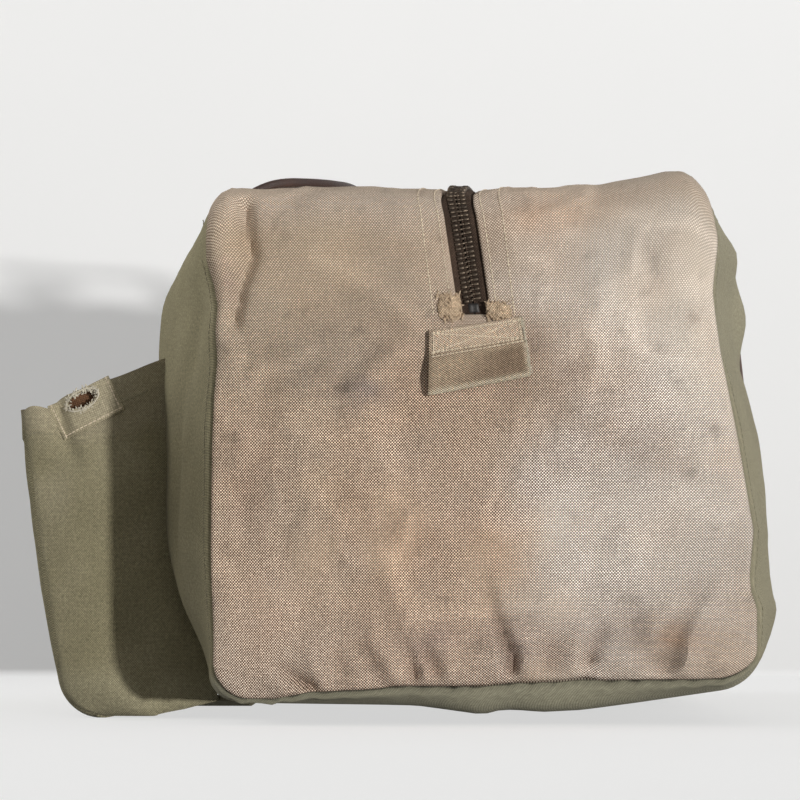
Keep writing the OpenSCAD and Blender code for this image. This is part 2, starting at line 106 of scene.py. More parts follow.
def s_far(z):
    """Place along the tan strip of a point on the far end."""
    return FAR_WALL + ROLL_Z - z


def s_end(z, far):
    """Place along the tan strip of a point on either end."""
    return s_far(z) if far else s_of_z(z)


def outward(far):
    """Which way an end faces, along y."""
    return 1 if far else -1


def side_curve(sign):
    """The swell of the left (-1) or right (1) side."""
    return LEFT_SIDE if sign < 0 else RIGHT_SIDE


# ---- small helpers

def smooth(a, b, x):
    """A soft step from 0 at a to 1 at b."""
    t = np.clip((np.asarray(x, float) - a) / (b - a), 0, 1)
    return t * t * (3 - 2 * t)


def bell(x, middle, width):
    """A soft hump of height 1."""
    return np.exp(-(((np.asarray(x, float) - middle) / width) ** 2))


def run_along(path):
    """Length along a broken line, at each of its points."""
    return np.concatenate([[0], np.cumsum(np.hypot(*np.diff(path, axis=0).T))])


def between(start, stop, count):
    """Evenly spaced points from one pair of numbers to another, as two rows."""
    t = np.linspace(0, 1, count)
    return [a + (b - a) * t for a, b in zip(start, stop)]


def linear(*rgb):
    """A colour written as 0 to 255 on screen, as light."""
    c = np.array(rgb, float) / 255
    return np.where(c <= 0.04045, c / 12.92, ((c + 0.055) / 1.055) ** 2.4)


def value_noise(p, seed):
    """Smooth noise from -1 to 1 at points (N, 3), one unit to a cell."""
    cell = np.floor(p).astype(np.int64)
    f = p - cell
    f = f * f * (3 - 2 * f)
    total = np.zeros(len(p))
    for corner in np.ndindex(2, 2, 2):
        c = cell + np.array(corner)
        h = c[:, 0] * 374761393 + c[:, 1] * 668265263 + c[:, 2] * 1440662683 + seed * 1274126177
        h = h & 0xFFFFFFFF
        h = ((h ^ (h >> 13)) * 1274126177) & 0xFFFFFFFF
        h = h ^ (h >> 16)
        weight = np.prod(np.where(np.array(corner) == 1, f, 1 - f), axis=1)
        total += weight * (h / 0x7FFFFFFF - 1)
    return total


def cloud(a, b, size, octaves, seed, c=0.0):
    """Cloudy noise over two or three coordinates in millimetres."""
    p = np.stack(np.broadcast_arrays(*(np.asarray(v, float) for v in (a, b, c))), -1)
    shape = p.shape[:-1]
    p = p.reshape(-1, 3) / size
    total, amount = np.zeros(len(p)), 1.0
    for k in range(octaves):
        total += amount * value_noise(p * 2 ** k + 17.3 * (k + 1), seed + k)
        amount *= 0.5
    return total.reshape(shape)


def crease(a, b, points, width, height, fade=True):
    """A ridge along a broken line, a valley where height is below 0; it fades towards the last point."""
    best = np.full(np.broadcast(a, b).shape, 1e9)
    along = np.zeros_like(best)
    pts = np.array(points, float)
    runs = np.hypot(*np.diff(pts, axis=0).T)
    done = 0.0
    for p, q, run in zip(pts[:-1], pts[1:], runs):
        d = (q - p) / run
        t = np.clip((a - p[0]) * d[0] + (b - p[1]) * d[1], 0, run)
        dist = np.hypot(a - p[0] - t * d[0], b - p[1] - t * d[1])
        near = dist < best
        best = np.where(near, dist, best)
        along = np.where(near, done + t, along)
        done += run
    share = np.clip(along / done, 0, 1)
    return height * np.exp(-((best / width) ** 2)) * ((1 - share ** 2) if fade else 1.0)


def creases(a, b, lines):
    """Several folds together, each as (points, half width, height) and, where it doesn't fade, False."""
    return sum(crease(a, b, *line) for line in lines)


# ---- the bag's own lines

def half(z):
    """Half the width of the bag's end at each height."""
    return FOOT_HALF + (TOP_HALF - FOOT_HALF) * z / TOP_Z


def rim_z(y):
    """Height of the wrap's upper edge along the bag."""
    return ROLL_Z + np.sqrt(np.maximum(0, ROLL ** 2 - np.maximum(0, np.abs(y) - FLAT_Y) ** 2))


def foot_z(y):
    """Height of the floor, lifted at both ends."""
    return SEAM_LIFT * np.maximum(0, (np.abs(y) - FLAT_Y) / ROLL) ** 2


def side_x(y, z, curve):
    """How far out a side stands before it is settled."""
    swell, power = curve
    along = 1 - np.minimum(1, np.abs(y) / END_Y) ** 3.5
    up = 1 - np.minimum(1, np.abs(2 * np.maximum(0, z / rim_z(y)) ** power - 1)) ** 3.5
    return half(z) + swell * along * up


def strip_line(s):
    """Outside of the tan strip in (y, z), and its outward direction, at places s along it."""
    s = np.asarray(s, float)
    a = np.clip(s / ROLL, 0, math.pi / 2)
    b = np.clip((s - TOP_STOP) / ROLL, 0, math.pi / 2)
    y = -FLAT_Y - ROLL * np.cos(a) + np.clip(s - TOP_START, 0, 2 * FLAT_Y) + ROLL * np.sin(b)
    z = ROLL_Z + ROLL * np.sin(a) + np.minimum(s, 0)
    z = z - ROLL * (1 - np.cos(b)) - np.maximum(s - FAR_WALL, 0)
    return y, z, np.sin(b) - np.cos(a), np.sin(a) - (1 - np.cos(b))


# how far each near seam stands off its straight line, by height
LEFT_SEAM = ([10, 40, 60, 100, 140, 165, 183, 197, 210, 221, 236, 248, 262, 276],
             [-3.6, -3.4, -3.2, -2.4, -1.6, -1.8, -2.8, -1.3, -2.0, 0.2, 4.6, 5.4, 5.6, 3])
RIGHT_SEAM = ([12, 22, 42, 57, 67, 75, 86, 97, 137, 187, 217, 247, 262, 276],
              [7, 8.5, 8.4, 8.6, 5.8, 5.6, 7.2, 8.8, 3.6, -3.6, -6.4, -4.8, -5.5, -6])
# lift of the near bottom seam across the bag
FOOT_SEAM = ([-135, -115, -100, -82, -57, -45, -39, -7, 8, 20, 34, 46, 56, 63, 108, 128, 135],
             [3.0, 0.2, 0.2, 3.8, 5, 6, 7.4, 7.4, 8.1, 9.5, 10.2, 10.9, 12.4, 11, 11, 12, 12.6])
# how far the near top edge stands above its straight line, right and left of the zip
RIGHT_TOP = ([0, 8, 20, 48, 69, 90, 104, 112, 118, 123, 127],
             [0, 0.3, 2, 3.4, 5, 9, 11.8, 11.4, 8, 2, -4])
LEFT_TOP = ([0, 8, 20, 60, 100, 112, 118, 122, 127],
            [0, 0.3, 2, 2.2, 2, 2.2, 1.5, -0.6, -6])
# lift of the floor behind the near bottom seam
FOOT_BELLY = ([-140, -120, -107, -45, -27, -11, 4, 10, 15, 22, 36, 55, 68, 82, 95, 108, 122, 135, 142],
              [11.5, 11, 10.2, 9.4, 9, 6.9, 4.8, 5.1, 6.7, 6.9,
               5.8, 6.8, 8.6, 10.6, 12.6, 14.6, 16.8, 19, 21])


def settle(p):
    """The stuffed bag's lean, swells and lifted corners, as one smooth move of every point on it."""
    x, y, z = np.moveaxis(np.asarray(p, float), -1, 0)
    left, right = x < 0, x > 0
    near = 1 - smooth(-245, -70, y)
    share = np.clip(np.abs(x) / half(z), 0, 1.1)
    dx = np.where(left, -np.interp(z, *LEFT_SEAM), np.interp(z, *RIGHT_SEAM)) * share ** 1.6 * near
    # the zip slants on the near end and straightens along the top
    slant = np.interp(z, [150, 206, 256, 268], [4.0, 2.5, -5.0, -8.0]) * smooth(120, 190, z)
    dx = dx + slant * bell(x, 0, 44) * (1 - smooth(-258, -225, y))
    # left side fuller below the rings, right side fuller low down and at both ends of its near top corner
    at_rings = 1 - bell(np.abs(y), LEG_Y, 30) * smooth(140, 170, z)
    outer = smooth(0.6, 1, share) * at_rings
    left_swell = (8.0 * bell(z, 196, 50) + 2.6 * bell(z, 226, 20)) * bell(y, -135, 62)
    left_swell = left_swell - 7.0 * bell(z, 34, 34) * bell(y, -150, 110)
    left_swell = left_swell + 4.4 * bell(z, 222, 24) * bell(y, -116, 20)
    right_swell = 7.0 * bell(z, 66, 40) + 4.5 * bell(z, 140, 40) + 12.0 * bell(z, 246, 20)
    right_swell = right_swell * bell(y, -170, 70) + 11.2 * bell(z, 216, 20) * bell(y, -113, 26)
    dx = dx + (right * right_swell - left * left_swell) * outer
    # the top's right near corner stands up, the left one is rounded, the rest of both edges is rubbed down
    edge = np.where(right, np.interp(x, *RIGHT_TOP), np.interp(-x, *LEFT_TOP))
    at_near_edge = bell(y, -246, 66)
    dz = edge * at_near_edge * smooth(205, 262, z)
    far_edge = smooth(0.86, 1.0, np.abs(x) / half(z)) ** 2 * smooth(235, 268, z)
    dz = dz - 4.0 * far_edge * (1 - at_near_edge)
    # the top sags a little between the handles, the far left corner droops
    dz = dz - 4.0 * bell(np.abs(x), 82, 34) * bell(y, 10, 110) * smooth(250, 268, z)
    dz = dz - 3.0 * bell(x, -115, 40) * bell(y, 250, 60) * smooth(215, 262, z)
    # the near foot is lifted
    low = 1 - smooth(0, 70, z)
    behind_seam = smooth(-262, -247, y)
    seam = np.interp(x, *FOOT_SEAM) * (1 - behind_seam)
    belly = np.interp(x, *FOOT_BELLY) * np.clip((60 - y) / 297, 0, 1) * behind_seam
    corner = right * 9.0 * np.clip((x - 76) / 54, 0, 1.3) ** 2 * smooth(-240, -100, y)
    dz = dz + (seam + belly + corner) * low
    return np.stack([x + dx, y, z + dz], -1)


def panel_edge(x, z):
    """Distance in from the outline of an end panel, and its half width at each height."""
    knee_z, r = SEAM_LIFT + FOOT_R, FOOT_R - SEAM_IN
    knee_x = half(knee_z) - FOOT_R
    below = np.sqrt(np.maximum(0, r ** 2 - np.minimum(r, knee_z - z) ** 2))
    width = np.where(z >= knee_z, half(z) - SEAM_IN, knee_x + below)
    ax = np.abs(x)
    straight = np.minimum(half(z) - SEAM_IN - ax, z - (SEAM_LIFT + SEAM_IN))
    rounded = r - np.hypot(ax - knee_x, knee_z - z)
    return np.where((ax > knee_x) & (z < knee_z), rounded, straight), width


# folds along the near end's lower seam: line from the seam upwards, half width, height, soil and painted
# shade in the fold
PLEATS = [
    ([(101, 18), (103, 34), (105, 47), (114, 62), (124, 79)], 3.4, 3.6, 0.0),
    ([(95, 22), (97, 40), (103, 58), (113, 76)], 4.6, -2.6, 0.10),
    ([(92, 20), (91, 30), (93, 42)], 3.6, -3.4, 0.2),
    ([(84, 22), (78, 44), (70, 62)], 5.0, -2.2, 0.12),
    ([(72, 22), (86, 40), (104, 62)], 5.0, 2.0, 0.0),
    ([(57, 22), (60, 34), (66, 50)], 3.0, -3.8, 0.30),
    ([(50, 20), (50, 36), (54, 52)], 4.4, 2.2, 0.0),
    ([(39, 22), (39, 32), (40, 42)], 4.6, -1.8, 0.22),
    ([(20.5, 20), (20.5, 30), (17, 40), (11, 60), (7, 76)], 3.0, -4.6, 0.46),
    ([(27, 20), (25, 34), (20, 52)], 4.4, 2.8, 0.0),
    ([(14, 20), (13, 36), (6, 56)], 4.6, 1.8, 0.0),
    ([(-17, 20), (-21, 30), (-26, 44)], 3.0, -3.2, 0.26),
    ([(-10, 18), (-12, 32), (-16, 46)], 4.0, 2.2, 0.0),
    ([(-28, 18), (-30, 30), (-37, 48)], 3.0, -3.0, 0.24),
    ([(-23, 18), (-26, 30), (-31, 44)], 3.2, 2.0, 0.0),
    ([(-38, 18), (-46, 36), (-56, 58)], 4.6, 2.2, 0.0),
    ([(-44, 16), (-50, 30), (-60, 46)], 4.0, -2.0, 0.12),
    ([(-80, 15), (-86, 19), (-94, 26), (-104, 34)], 2.6, -4.2, 0.34),
    ([(-88, 12), (-99, 19), (-112, 26)], 4.0, 2.6, 0.0),
    ([(-74, 16), (-80, 26), (-83, 42)], 4.0, 2.2, 0.0),
    ([(-64, 15), (-66, 28), (-72, 42)], 3.6, -1.8, 0.12),
]

# soft draw-lines on the near end: line, half width, height, no fading
DRAWS = [
    ([(-77, 232), (-58, 224), (-47, 218), (-30, 202)], 6.0, 1.6, False),
    ([(-47, 189), (-58, 177), (-65, 169)], 4.0, -1.7, False),
    ([(-58, 167), (-46, 176), (-35, 187)], 5.0, 1.3, False),
    ([(-108, 176), (-93, 180), (-80, 186)], 4.5, 1.5, False),
    ([(-104, 166), (-92, 172), (-78, 181)], 4.0, -1.3, False),
    ([(62, 256), (78, 252), (92, 247)], 4.0, 1.4, False),
]

# broad folds of the near end, of the far end, and of the top (the same on both sides, then one side only)
NEAR_FOLDS = [
    ([(-108.8, 262), (-107.8, 240), (-106.2, 235), (-115.4, 219), (-118.4, 209), (-120, 200)],
     3.6, -6.4, False),
    ([(-116, 197), (-113.5, 184), (-116.5, 175)], 3.0, -1.9, False),
    ([(-70, 262), (-30, 243), (-12, 224)], 10, 1.5),
    ([(-24, 186), (-52, 182), (-86, 172), (-112, 168)], 6, 1.4),
    ([(-24, 178), (-56, 168), (-92, 152)], 6, -1.5),
    ([(-92, 150), (-70, 132), (-40, 126), (-10, 130)], 8, 1.6),
    ([(-88, 108), (-96, 96), (-93, 80)], 5, -1.8),
    ([(-80, 112), (-86, 96), (-82, 80)], 5, 1.4),
    ([(30, 174), (56, 158), (84, 150)], 7, 1.5),
    ([(32, 186), (64, 178), (92, 180)], 7, -1.5),
    ([(60, 245), (86, 236), (98, 222), (104, 205)], 5, -2.2),
    ([(45, 262), (90, 251), (120, 246)], 6, -1.8),
]
FAR_FOLDS = [
    ([(95, 16), (88, 40), (76, 66)], 5, -2.4),
    ([(-60, 14), (-66, 36), (-60, 60)], 5, -2.2),
    ([(20, 14), (26, 36), (34, 58)], 5, 2.0),
    ([(-110, 255), (-96, 235), (-92, 205)], 6, -2.6),
]
TOP_PAIRS = [
    ([(120, -60), (90, -70), (60, -96)], 9, 1.5),
    ([(120, 84), (84, 96), (56, 84)], 9, 1.4),
]
TOP_FOLDS = [
    ([(112, -200), (70, -150), (58, -90)], 10, -1.6),
    ([(-118, 190), (-84, 140), (-62, 100)], 10, -1.6),
]
# half the width over which an end swells, and the height of its fullest part
CROWN_HALF, CROWN_Z = 131.0, 125.0


def crown(x, z):
    """Swelling of an end panel, 1 in its middle and 0 at its edges."""
    wide = 1 - np.minimum(1, np.abs(x) / CROWN_HALF) ** 2.4
    return wide * (1 - np.minimum(1, np.abs(z - CROWN_Z) / CROWN_Z) ** 2.6)


def crumple(a, b, size, seed):
    """A net of fine ridges, 0 to 1, such as soft cloth keeps after it has been crushed."""
    lines = 1 - np.abs(cloud(a, b, size, 2, seed)) * 2.2
    return smooth(0.35, 1.0, lines) * smooth(-0.25, 0.45, cloud(a, b, size * 2.3, 1, seed + 3))


def crumples(x, s, broad, fine):
    """The tan strip's two nets of ridges, each times its own amount."""
    return broad * crumple(x, s * 1.15, 44, 23) + fine * crumple(x * 1.2, s, 21, 27)


def strip_relief(x, s):
    """Wrinkles of the tan strip, outwards in millimetres."""
    x, s = np.broadcast_arrays(np.asarray(x, float), np.asarray(s, float))
    u = ROLL_Z + s
    y, z, _, _ = strip_line(s)
    inside, _ = panel_edge(x, np.minimum(z, ROLL_Z))
    inside = np.where((u < ROLL_Z) | (s > FAR_WALL), inside, half(z) - SEAM_IN - np.abs(x))
    calm = smooth(0, 26, inside)
    h = 1.6 * cloud(x, s, 75, 2, 11) * calm + 1.15 * cloud(x, s, 24, 2, 21) * smooth(-2, 8, inside)
    h = h + crumples(x, s, 1.6, 0.9) * smooth(2, 14, inside)
    # keep the top calm where the sliders lie
    stops = smooth(100, 150, y) * (s < TOP_STOP)
    stops = stops + (1 - smooth(-190, -150, y)) * smooth(TOP_START - 14, TOP_START, s)
    h = h * (1 - 0.85 * bell(x, 0, 20) * stops)
    # near end: soft crown, shoulder at the left, folds, pleats and draw-lines
    n = 5.0 * crown(x, u)
    n = n + 6.2 * bell(x, -122, 8.5) * bell(u, 240, 24) + 1.8 * bell(x, -122, 7) * bell(u, 188, 11)
    n = n + creases(x, u, NEAR_FOLDS + [pleat[:3] for pleat in PLEATS] + DRAWS)
    h = h + np.where(u < NEAR_REACH, n * (1 - smooth(262, 290, u)) * smooth(-3, 4, inside), 0)
    # far end: its own crown and folds
    f = 4.5 * crown(x, z) + creases(x, z, FAR_FOLDS)
    h = h + np.where(s > FAR_WALL, f * smooth(-3, 4, inside), 0)
    # top: folds that run from the handles to the zip
    t = creases(np.abs(x), y, TOP_PAIRS) + creases(x, y, TOP_FOLDS)
    on_top = (s > TOP_START - 10) & (s < TOP_STOP + 10)
    return h + np.where(on_top, t * smooth(20, 50, np.abs(x)) * calm, 0)


def strip(x, s, h=0.0, curl=0.0):
    """Points on the settled tan strip: x across, s along, h above the cloth's outside, curl below it."""
    x, s, h = np.broadcast_arrays(np.asarray(x, float), np.asarray(s, float), np.asarray(h, float))
    y, z, ny, nz = strip_line(s)
    lift = strip_relief(x, s) + h - curl
    points = settle(np.stack([x, y + ny * lift, z + nz * lift], -1))
    # along the mouth the cloth keeps to the lips' fold lines
    hold = bell(np.abs(x), FOLD_X, 16) * smooth(-230, -200, y) * (1 - smooth(108, YOKE_Y - 2, y))
    if hold.max() > 0.01:
        fold = np.where(x < 0, -FOLD_X, FOLD_X)
        rise = strip_relief(fold, s)
        line = settle(np.stack([fold, y + ny * rise, z + nz * rise], -1))
        points = points - hold[..., None] * (line - np.stack([fold, y, z], -1))
    return points


def strip_up(x, s):
    """Outward direction of the settled strip at single places."""
    e = 0.5
    across = strip(x + e, s) - strip(x - e, s)
    along = strip(x, s + e) - strip(x, s - e)
    n = np.cross(across, along)
    return n / np.linalg.norm(n, axis=-1, keepdims=True)


# folds of the wrap's left (-1) and right (1) sides, along the bag and up
WRAP_FOLDS = {
    -1: [([(-262, 232), (-236, 205), (-205, 150), (-192, 90)], 11, -3.0, False),
         ([(-262, 150), (-238, 120), (-222, 70)], 8, 1.8),
         ([(262, 220), (226, 190), (200, 130)], 12, -3.2)],
    1: [([(-262, 120), (-220, 96), (-150, 92), (-60, 100)], 15, -3.0),
        ([(262, 140), (220, 120), (150, 128)], 14, -3.4),
        ([(-30, 40), (20, 62), (90, 60)], 14, 2.2)],
}
# the dent under the right side's near top corner
CORNER_DENT = ([(-262, 196), (-225, 190), (-170, 200)], 13, -3.0)


def wrap_relief(y, z, sign):
    """Wrinkles of the olive wrap's sides, outwards."""
    y, z = np.broadcast_arrays(np.asarray(y, float), np.asarray(z, float))
    from_end, from_rim = END_Y - np.abs(y), rim_z(y) - z
    ends = smooth(0, 40, from_end) * smooth(0, 40, from_rim) * smooth(6, 60, z)
    rings = 1 - 0.9 * bell(np.abs(y), LEG_Y, 34) * smooth(140, 165, z)
    h = 2.2 * cloud(y, z, 95, 2, 31 + int(sign > 0), 40 * sign) * ends
    h = h + 0.6 * cloud(y, z, 26, 2, 41, 60 * sign) * smooth(0, 10, from_end)
    h = h + creases(y, z, WRAP_FOLDS[sign]) * ends
    if sign > 0:
        h = h + crease(y, z, *CORNER_DENT) * smooth(0, 30, from_rim)
    return h * rings


def side(y, z, sign, h=0.0):
    """Points on the settled outside of the wrap's left (-1) or right (1) side."""
    y, z, h = np.broadcast_arrays(np.asarray(y, float), np.asarray(z, float), np.asarray(h, float))
    out = side_x(y, z, side_curve(sign)) + wrap_relief(y, z, sign) + h
    return settle(np.stack([sign * out, y, z], -1))


# ---- making meshes

def mesh_object(name, verts, faces, mats=()):
    mesh = bpy.data.meshes.new(name)
    mesh.from_pydata([tuple(v) for v in np.asarray(verts) * MM], [], [list(f) for f in faces])
    mesh.update()
    for m in mats:
        mesh.materials.append(m)
    obj = bpy.data.objects.new(name, mesh)
    bpy.context.scene.collection.objects.link(obj)
    return obj


def baked(obj):
    """Turns an object's modifiers into its plain mesh."""
    bpy.context.view_layer.update()
    graph = bpy.context.evaluated_depsgraph_get()
    shown = obj.evaluated_get(graph)
    mesh = bpy.data.meshes.new_from_object(shown, preserve_all_data_layers=True, depsgraph=graph)
    old = obj.data
    obj.modifiers.clear()
    obj.data = mesh
    mesh.name = obj.name
    if old.users == 0:
        bpy.data.meshes.remove(old)
    return obj


def shade_smooth(mesh):
    mesh.polygons.foreach_set("use_smooth", np.ones(len(mesh.polygons), bool))


def finish_mesh(obj, angle=50):
    """Smooth shading, with sharp edges past an angle in degrees."""
    shade_smooth(obj.data)
    obj.data.set_sharp_from_angle(angle=math.radians(angle))
    obj.data.update()
    return obj


def grid_faces(rows, cols, keep=None, flip=False):
    faces = []
    for i in range(rows - 1):
        for j in range(cols - 1):
            if keep is None or keep[i, j]:
                a, b = i * cols + j, (i + 1) * cols + j
                face = (a, a + 1, b + 1, b)
                faces.append(face[::-1] if flip else face)
    return faces


def cloth(name, points, uv, tint, finish, thick=CANVAS, keep=None, flip=False):
    """A cloth piece from a grid of outside points, in millimetres as uv is.

    tint is the cloth's colour as light; where it has a fourth number, that is the weave's contrast.
    """
    rows, cols = points.shape[:2]
    obj = mesh_object(name, points.reshape(-1, 3), grid_faces(rows, cols, keep, flip), [finish])
    mesh = obj.data
    layer = mesh.uv_layers.new(name="weave")
    corner = np.empty(len(mesh.loops), np.int32)
    mesh.loops.foreach_get("vertex_index", corner)
    at = np.asarray(uv, float).reshape(-1, 2)[corner] * MM
    layer.data.foreach_set("uv", at.astype(np.float32).ravel())
    colour = mesh.attributes.new("tint", "FLOAT_COLOR", "POINT")
    rgba = np.ones((rows * cols, 4), np.float32)
    tint = np.clip(np.broadcast_to(tint, (rows, cols, tint.shape[-1])), 0, 1)
    rgba[:, :tint.shape[-1]] = tint.reshape(rows * cols, -1)
    colour.data.foreach_set("color", rgba.ravel())
    # points of a cut-out that no face uses
    unused = np.setdiff1d(np.arange(rows * cols), corner).tolist()
    if unused:
        b = bmesh.new()
        b.from_mesh(mesh)
        b.verts.ensure_lookup_table()
        bmesh.ops.delete(b, geom=[b.verts[v] for v in unused], context="VERTS")
        b.to_mesh(mesh)
        b.free()
    if thick:
        wall = obj.modifiers.new("wall", "SOLIDIFY")
        wall.thickness, wall.offset = thick * MM, -1
        wall.use_quality_normals = True
    return finish_mesh(baked(obj))


def place(obj, body, slot, *nodes):
    """A piece on one body, with the solids that it stands for hidden; slot is not used."""
    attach(obj, body)
    if nodes:
        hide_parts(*nodes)
    return obj


# ---- finishes

class Finish:
    """A material, with short words for its nodes."""

    def __init__(self, name):
        self.mat = bpy.data.materials.new(name)
        self.mat.use_nodes = True
        self.tree = self.mat.node_tree
        self.shader = self.tree.nodes["Principled BSDF"]

    def give(self, socket, value):
        """Links another node's output to a socket, or sets the socket's own value."""
        if isinstance(value, bpy.types.NodeSocket):
            self.tree.links.new(value, socket)
        else:
            socket.default_value = value

    def set(self, **sockets):
        for name, value in sockets.items():
            self.give(self.shader.inputs[name.replace("_", " ").title()], value)

    def node(self, kind, inputs=(), **props):
        n = self.tree.nodes.new(kind)
        for key, value in props.items():
            setattr(n, key, value)
        for key, value in dict(inputs).items():
            self.give(n.inputs[key], value)
        return n

    def math(self, op, a, b=0.0):
        return self.node("ShaderNodeMath", {0: a, 1: b}, operation=op).outputs[0]

    def vector(self, op, a, b):
        return self.node("ShaderNodeVectorMath", {0: a, 1: b}, operation=op).outputs[0]

    def remap(self, value, low, high, to_low, to_high, **props):
        inputs = {0: value, 1: low, 2: high, 3: to_low, 4: to_high}
        return self.node("ShaderNodeMapRange", inputs, **props).outputs[0]

    def noise(self, vector, scale, detail=2.0, rough=0.5):
        inputs = {"Vector": vector, "Scale": scale, "Detail": detail, "Roughness": rough}
        return self.node("ShaderNodeTexNoise", inputs).outputs["Fac"]

    def stretch(self, vector, x, y, z=1.0):
        return self.vector("MULTIPLY", vector, (x, y, z))

    def tone(self, colour, factor):
        """A colour made lighter or darker by a number."""
        return self.node("ShaderNodeVectorMath", {0: colour, "Scale": factor}, operation="SCALE").outputs[0]

    def mix(self, factor, a, b):
        n = self.node("ShaderNodeMix", data_type="RGBA")
        for socket, value in ((n.inputs[0], factor), (n.inputs[6], a), (n.inputs[7], b)):
            self.give(socket, value)
        return n.outputs[2]

    def bump(self, height, distance, strength):
        inputs = {"Height": height, "Distance": distance, "Strength": strength}
        self.set(normal=self.node("ShaderNodeBump", inputs).outputs[0])

    def object_place(self):
        return self.node("ShaderNodeTexCoord").outputs["Object"]

    def piece_tint(self):
        """The colour painted on the piece, and the weave's contrast there."""
        paint = self.node("ShaderNodeAttribute", attribute_name="tint")
        return paint.outputs["Color"], paint.outputs["Alpha"]


# the weft lies this much wider than the warp
WEFT = 1.06


def canvas_finish(name, pitch, ground, crown_shade, depth, yarn, sheen):
    """Plain woven cloth: raised crossings in offset rows, uneven yarns, tinted by the piece's own stains."""
    f = Finish(name)
    uv = f.node("ShaderNodeUVMap", uv_map="weave").outputs[0]
    tint, crisp = f.piece_tint()
    thread = f.stretch(uv, 1 / (pitch * MM), 1 / (pitch * WEFT * MM))
    sway = f.node("ShaderNodeTexNoise", {"Vector": uv, "Scale": 90.0, "Detail": 2.0}).outputs["Color"]
    sway = f.vector("SUBTRACT", sway, (0.5, 0.5, 0.5))
    thread = f.vector("ADD", thread, f.stretch(sway, 1.3, 1.3, 0))
    xy = f.node("ShaderNodeSeparateXYZ", {0: thread})
    waves = [f.math("SINE", f.math("MULTIPLY", xy.outputs[i], math.pi)) for i in (0, 1)]
    rows = f.math("COSINE", f.math("MULTIPLY", xy.outputs[1], 2 * math.pi))
    over = f.remap(f.math("MULTIPLY", *waves), -1, 1, 0.14, 0.86)
    over = f.math("SUBTRACT", over, f.math("MULTIPLY", rows, 0.14))
    bead = f.remap(over, 0.3, 0.78, 0.0, 1.0, interpolation_type="SMOOTHSTEP")
    cell = f.node("ShaderNodeVectorMath", {0: thread}, operation="FLOOR").outputs[0]
    each = f.node("ShaderNodeTexWhiteNoise", {"Vector": cell}, noise_dimensions="2D").outputs["Value"]
    warp = f.noise(f.stretch(thread, 0.9, 0.035), 1.0, 1.0)
    weft = f.noise(f.stretch(thread, 0.035, 0.9), 1.0, 1.0)
    yarns = f.remap(f.math("ADD", warp, weft), 0.6, 1.4, 1 - yarn, 1 + yarn)
    fleck = f.remap(f.noise(uv, 620.0, 2.0), 0.3, 0.7, 0.84, 1.16)
    fleck = f.math("MULTIPLY", fleck, f.remap(each, 0, 1, 1 - yarn, 1 + yarn))
    shade = f.mix(bead, (*ground, 1), (*crown_shade, 1))
    shade = f.mix(crisp, (1, 1, 1, 1), f.tone(shade, f.math("MULTIPLY", yarns, fleck)))
    f.set(base_color=f.vector("MULTIPLY", tint, shade), roughness=0.92,
          sheen_weight=sheen, sheen_roughness=0.6)
    f.shader.inputs["Specular IOR Level"].default_value = 0.05
    f.bump(f.math("ADD", f.math("MULTIPLY", bead, 0.8), f.math("MULTIPLY", yarns, 0.3)), depth * MM, 0.7)
    return f.mat


def leather_finish(name, rough_low, rough_high):
    """Old leather: fine pores, rubbed in places."""
    f = Finish(name)
    at = f.object_place()
    tint, _ = f.piece_tint()
    inputs = {"Vector": at, "Scale": 900.0}
    grain = f.node("ShaderNodeTexVoronoi", inputs, feature="DISTANCE_TO_EDGE").outputs["Distance"]
    pores = f.remap(grain, 0.0, 0.18, 0.0, 1.0)
    wear = f.noise(at, 60.0, 4.0, 0.6)
    shade = f.math("MULTIPLY", f.remap(wear, 0.3, 0.7, 0.78, 1.25), f.remap(pores, 0, 1, 0.8, 1.04))
    f.set(base_color=f.tone(tint, shade), roughness=f.remap(wear, 0.3, 0.7, rough_low, rough_high))
    f.bump(f.math("ADD", f.math("MULTIPLY", pores, 0.6), f.noise(at, 220.0, 3.0)), 0.35 * MM, 0.5)
    return f.mat


def metal_finish(name, dark, bright, rough):
    """Old metal: bright where it is rubbed, dull in its spots."""
    f = Finish(name)
    at = f.object_place()
    spots = f.noise(at, 260.0, 4.0, 0.65)
    rubbed = f.remap(spots, 0.35, 0.68, 0.0, 1.0)
    f.set(base_color=f.mix(rubbed, (*dark, 1), (*bright, 1)), metallic=0.9,
          roughness=f.remap(spots, 0.3, 0.7, rough + 0.16, rough))
    f.bump(f.noise(at, 900.0, 2.0), 0.08 * MM, 0.4)
    return f.mat


def thread_finish(name, rgb):
    """Twisted sewing thread, soiled in places."""
    f = Finish(name)
    at = f.object_place()
    twist = f.noise(at, 1400.0, 2.0)
    soil = f.remap(f.noise(at, 45.0, 3.0), 0.35, 0.7, 0.0, 1.0)
    base = f.mix(soil, (*linear(*rgb), 1), (*(linear(*rgb) * 0.72), 1))
    f.set(base_color=f.tone(base, f.remap(twist, 0.3, 0.7, 0.82, 1.12)), roughness=0.9, sheen_weight=0.2)
    f.bump(twist, 0.15 * MM, 0.6)
    return f.mat


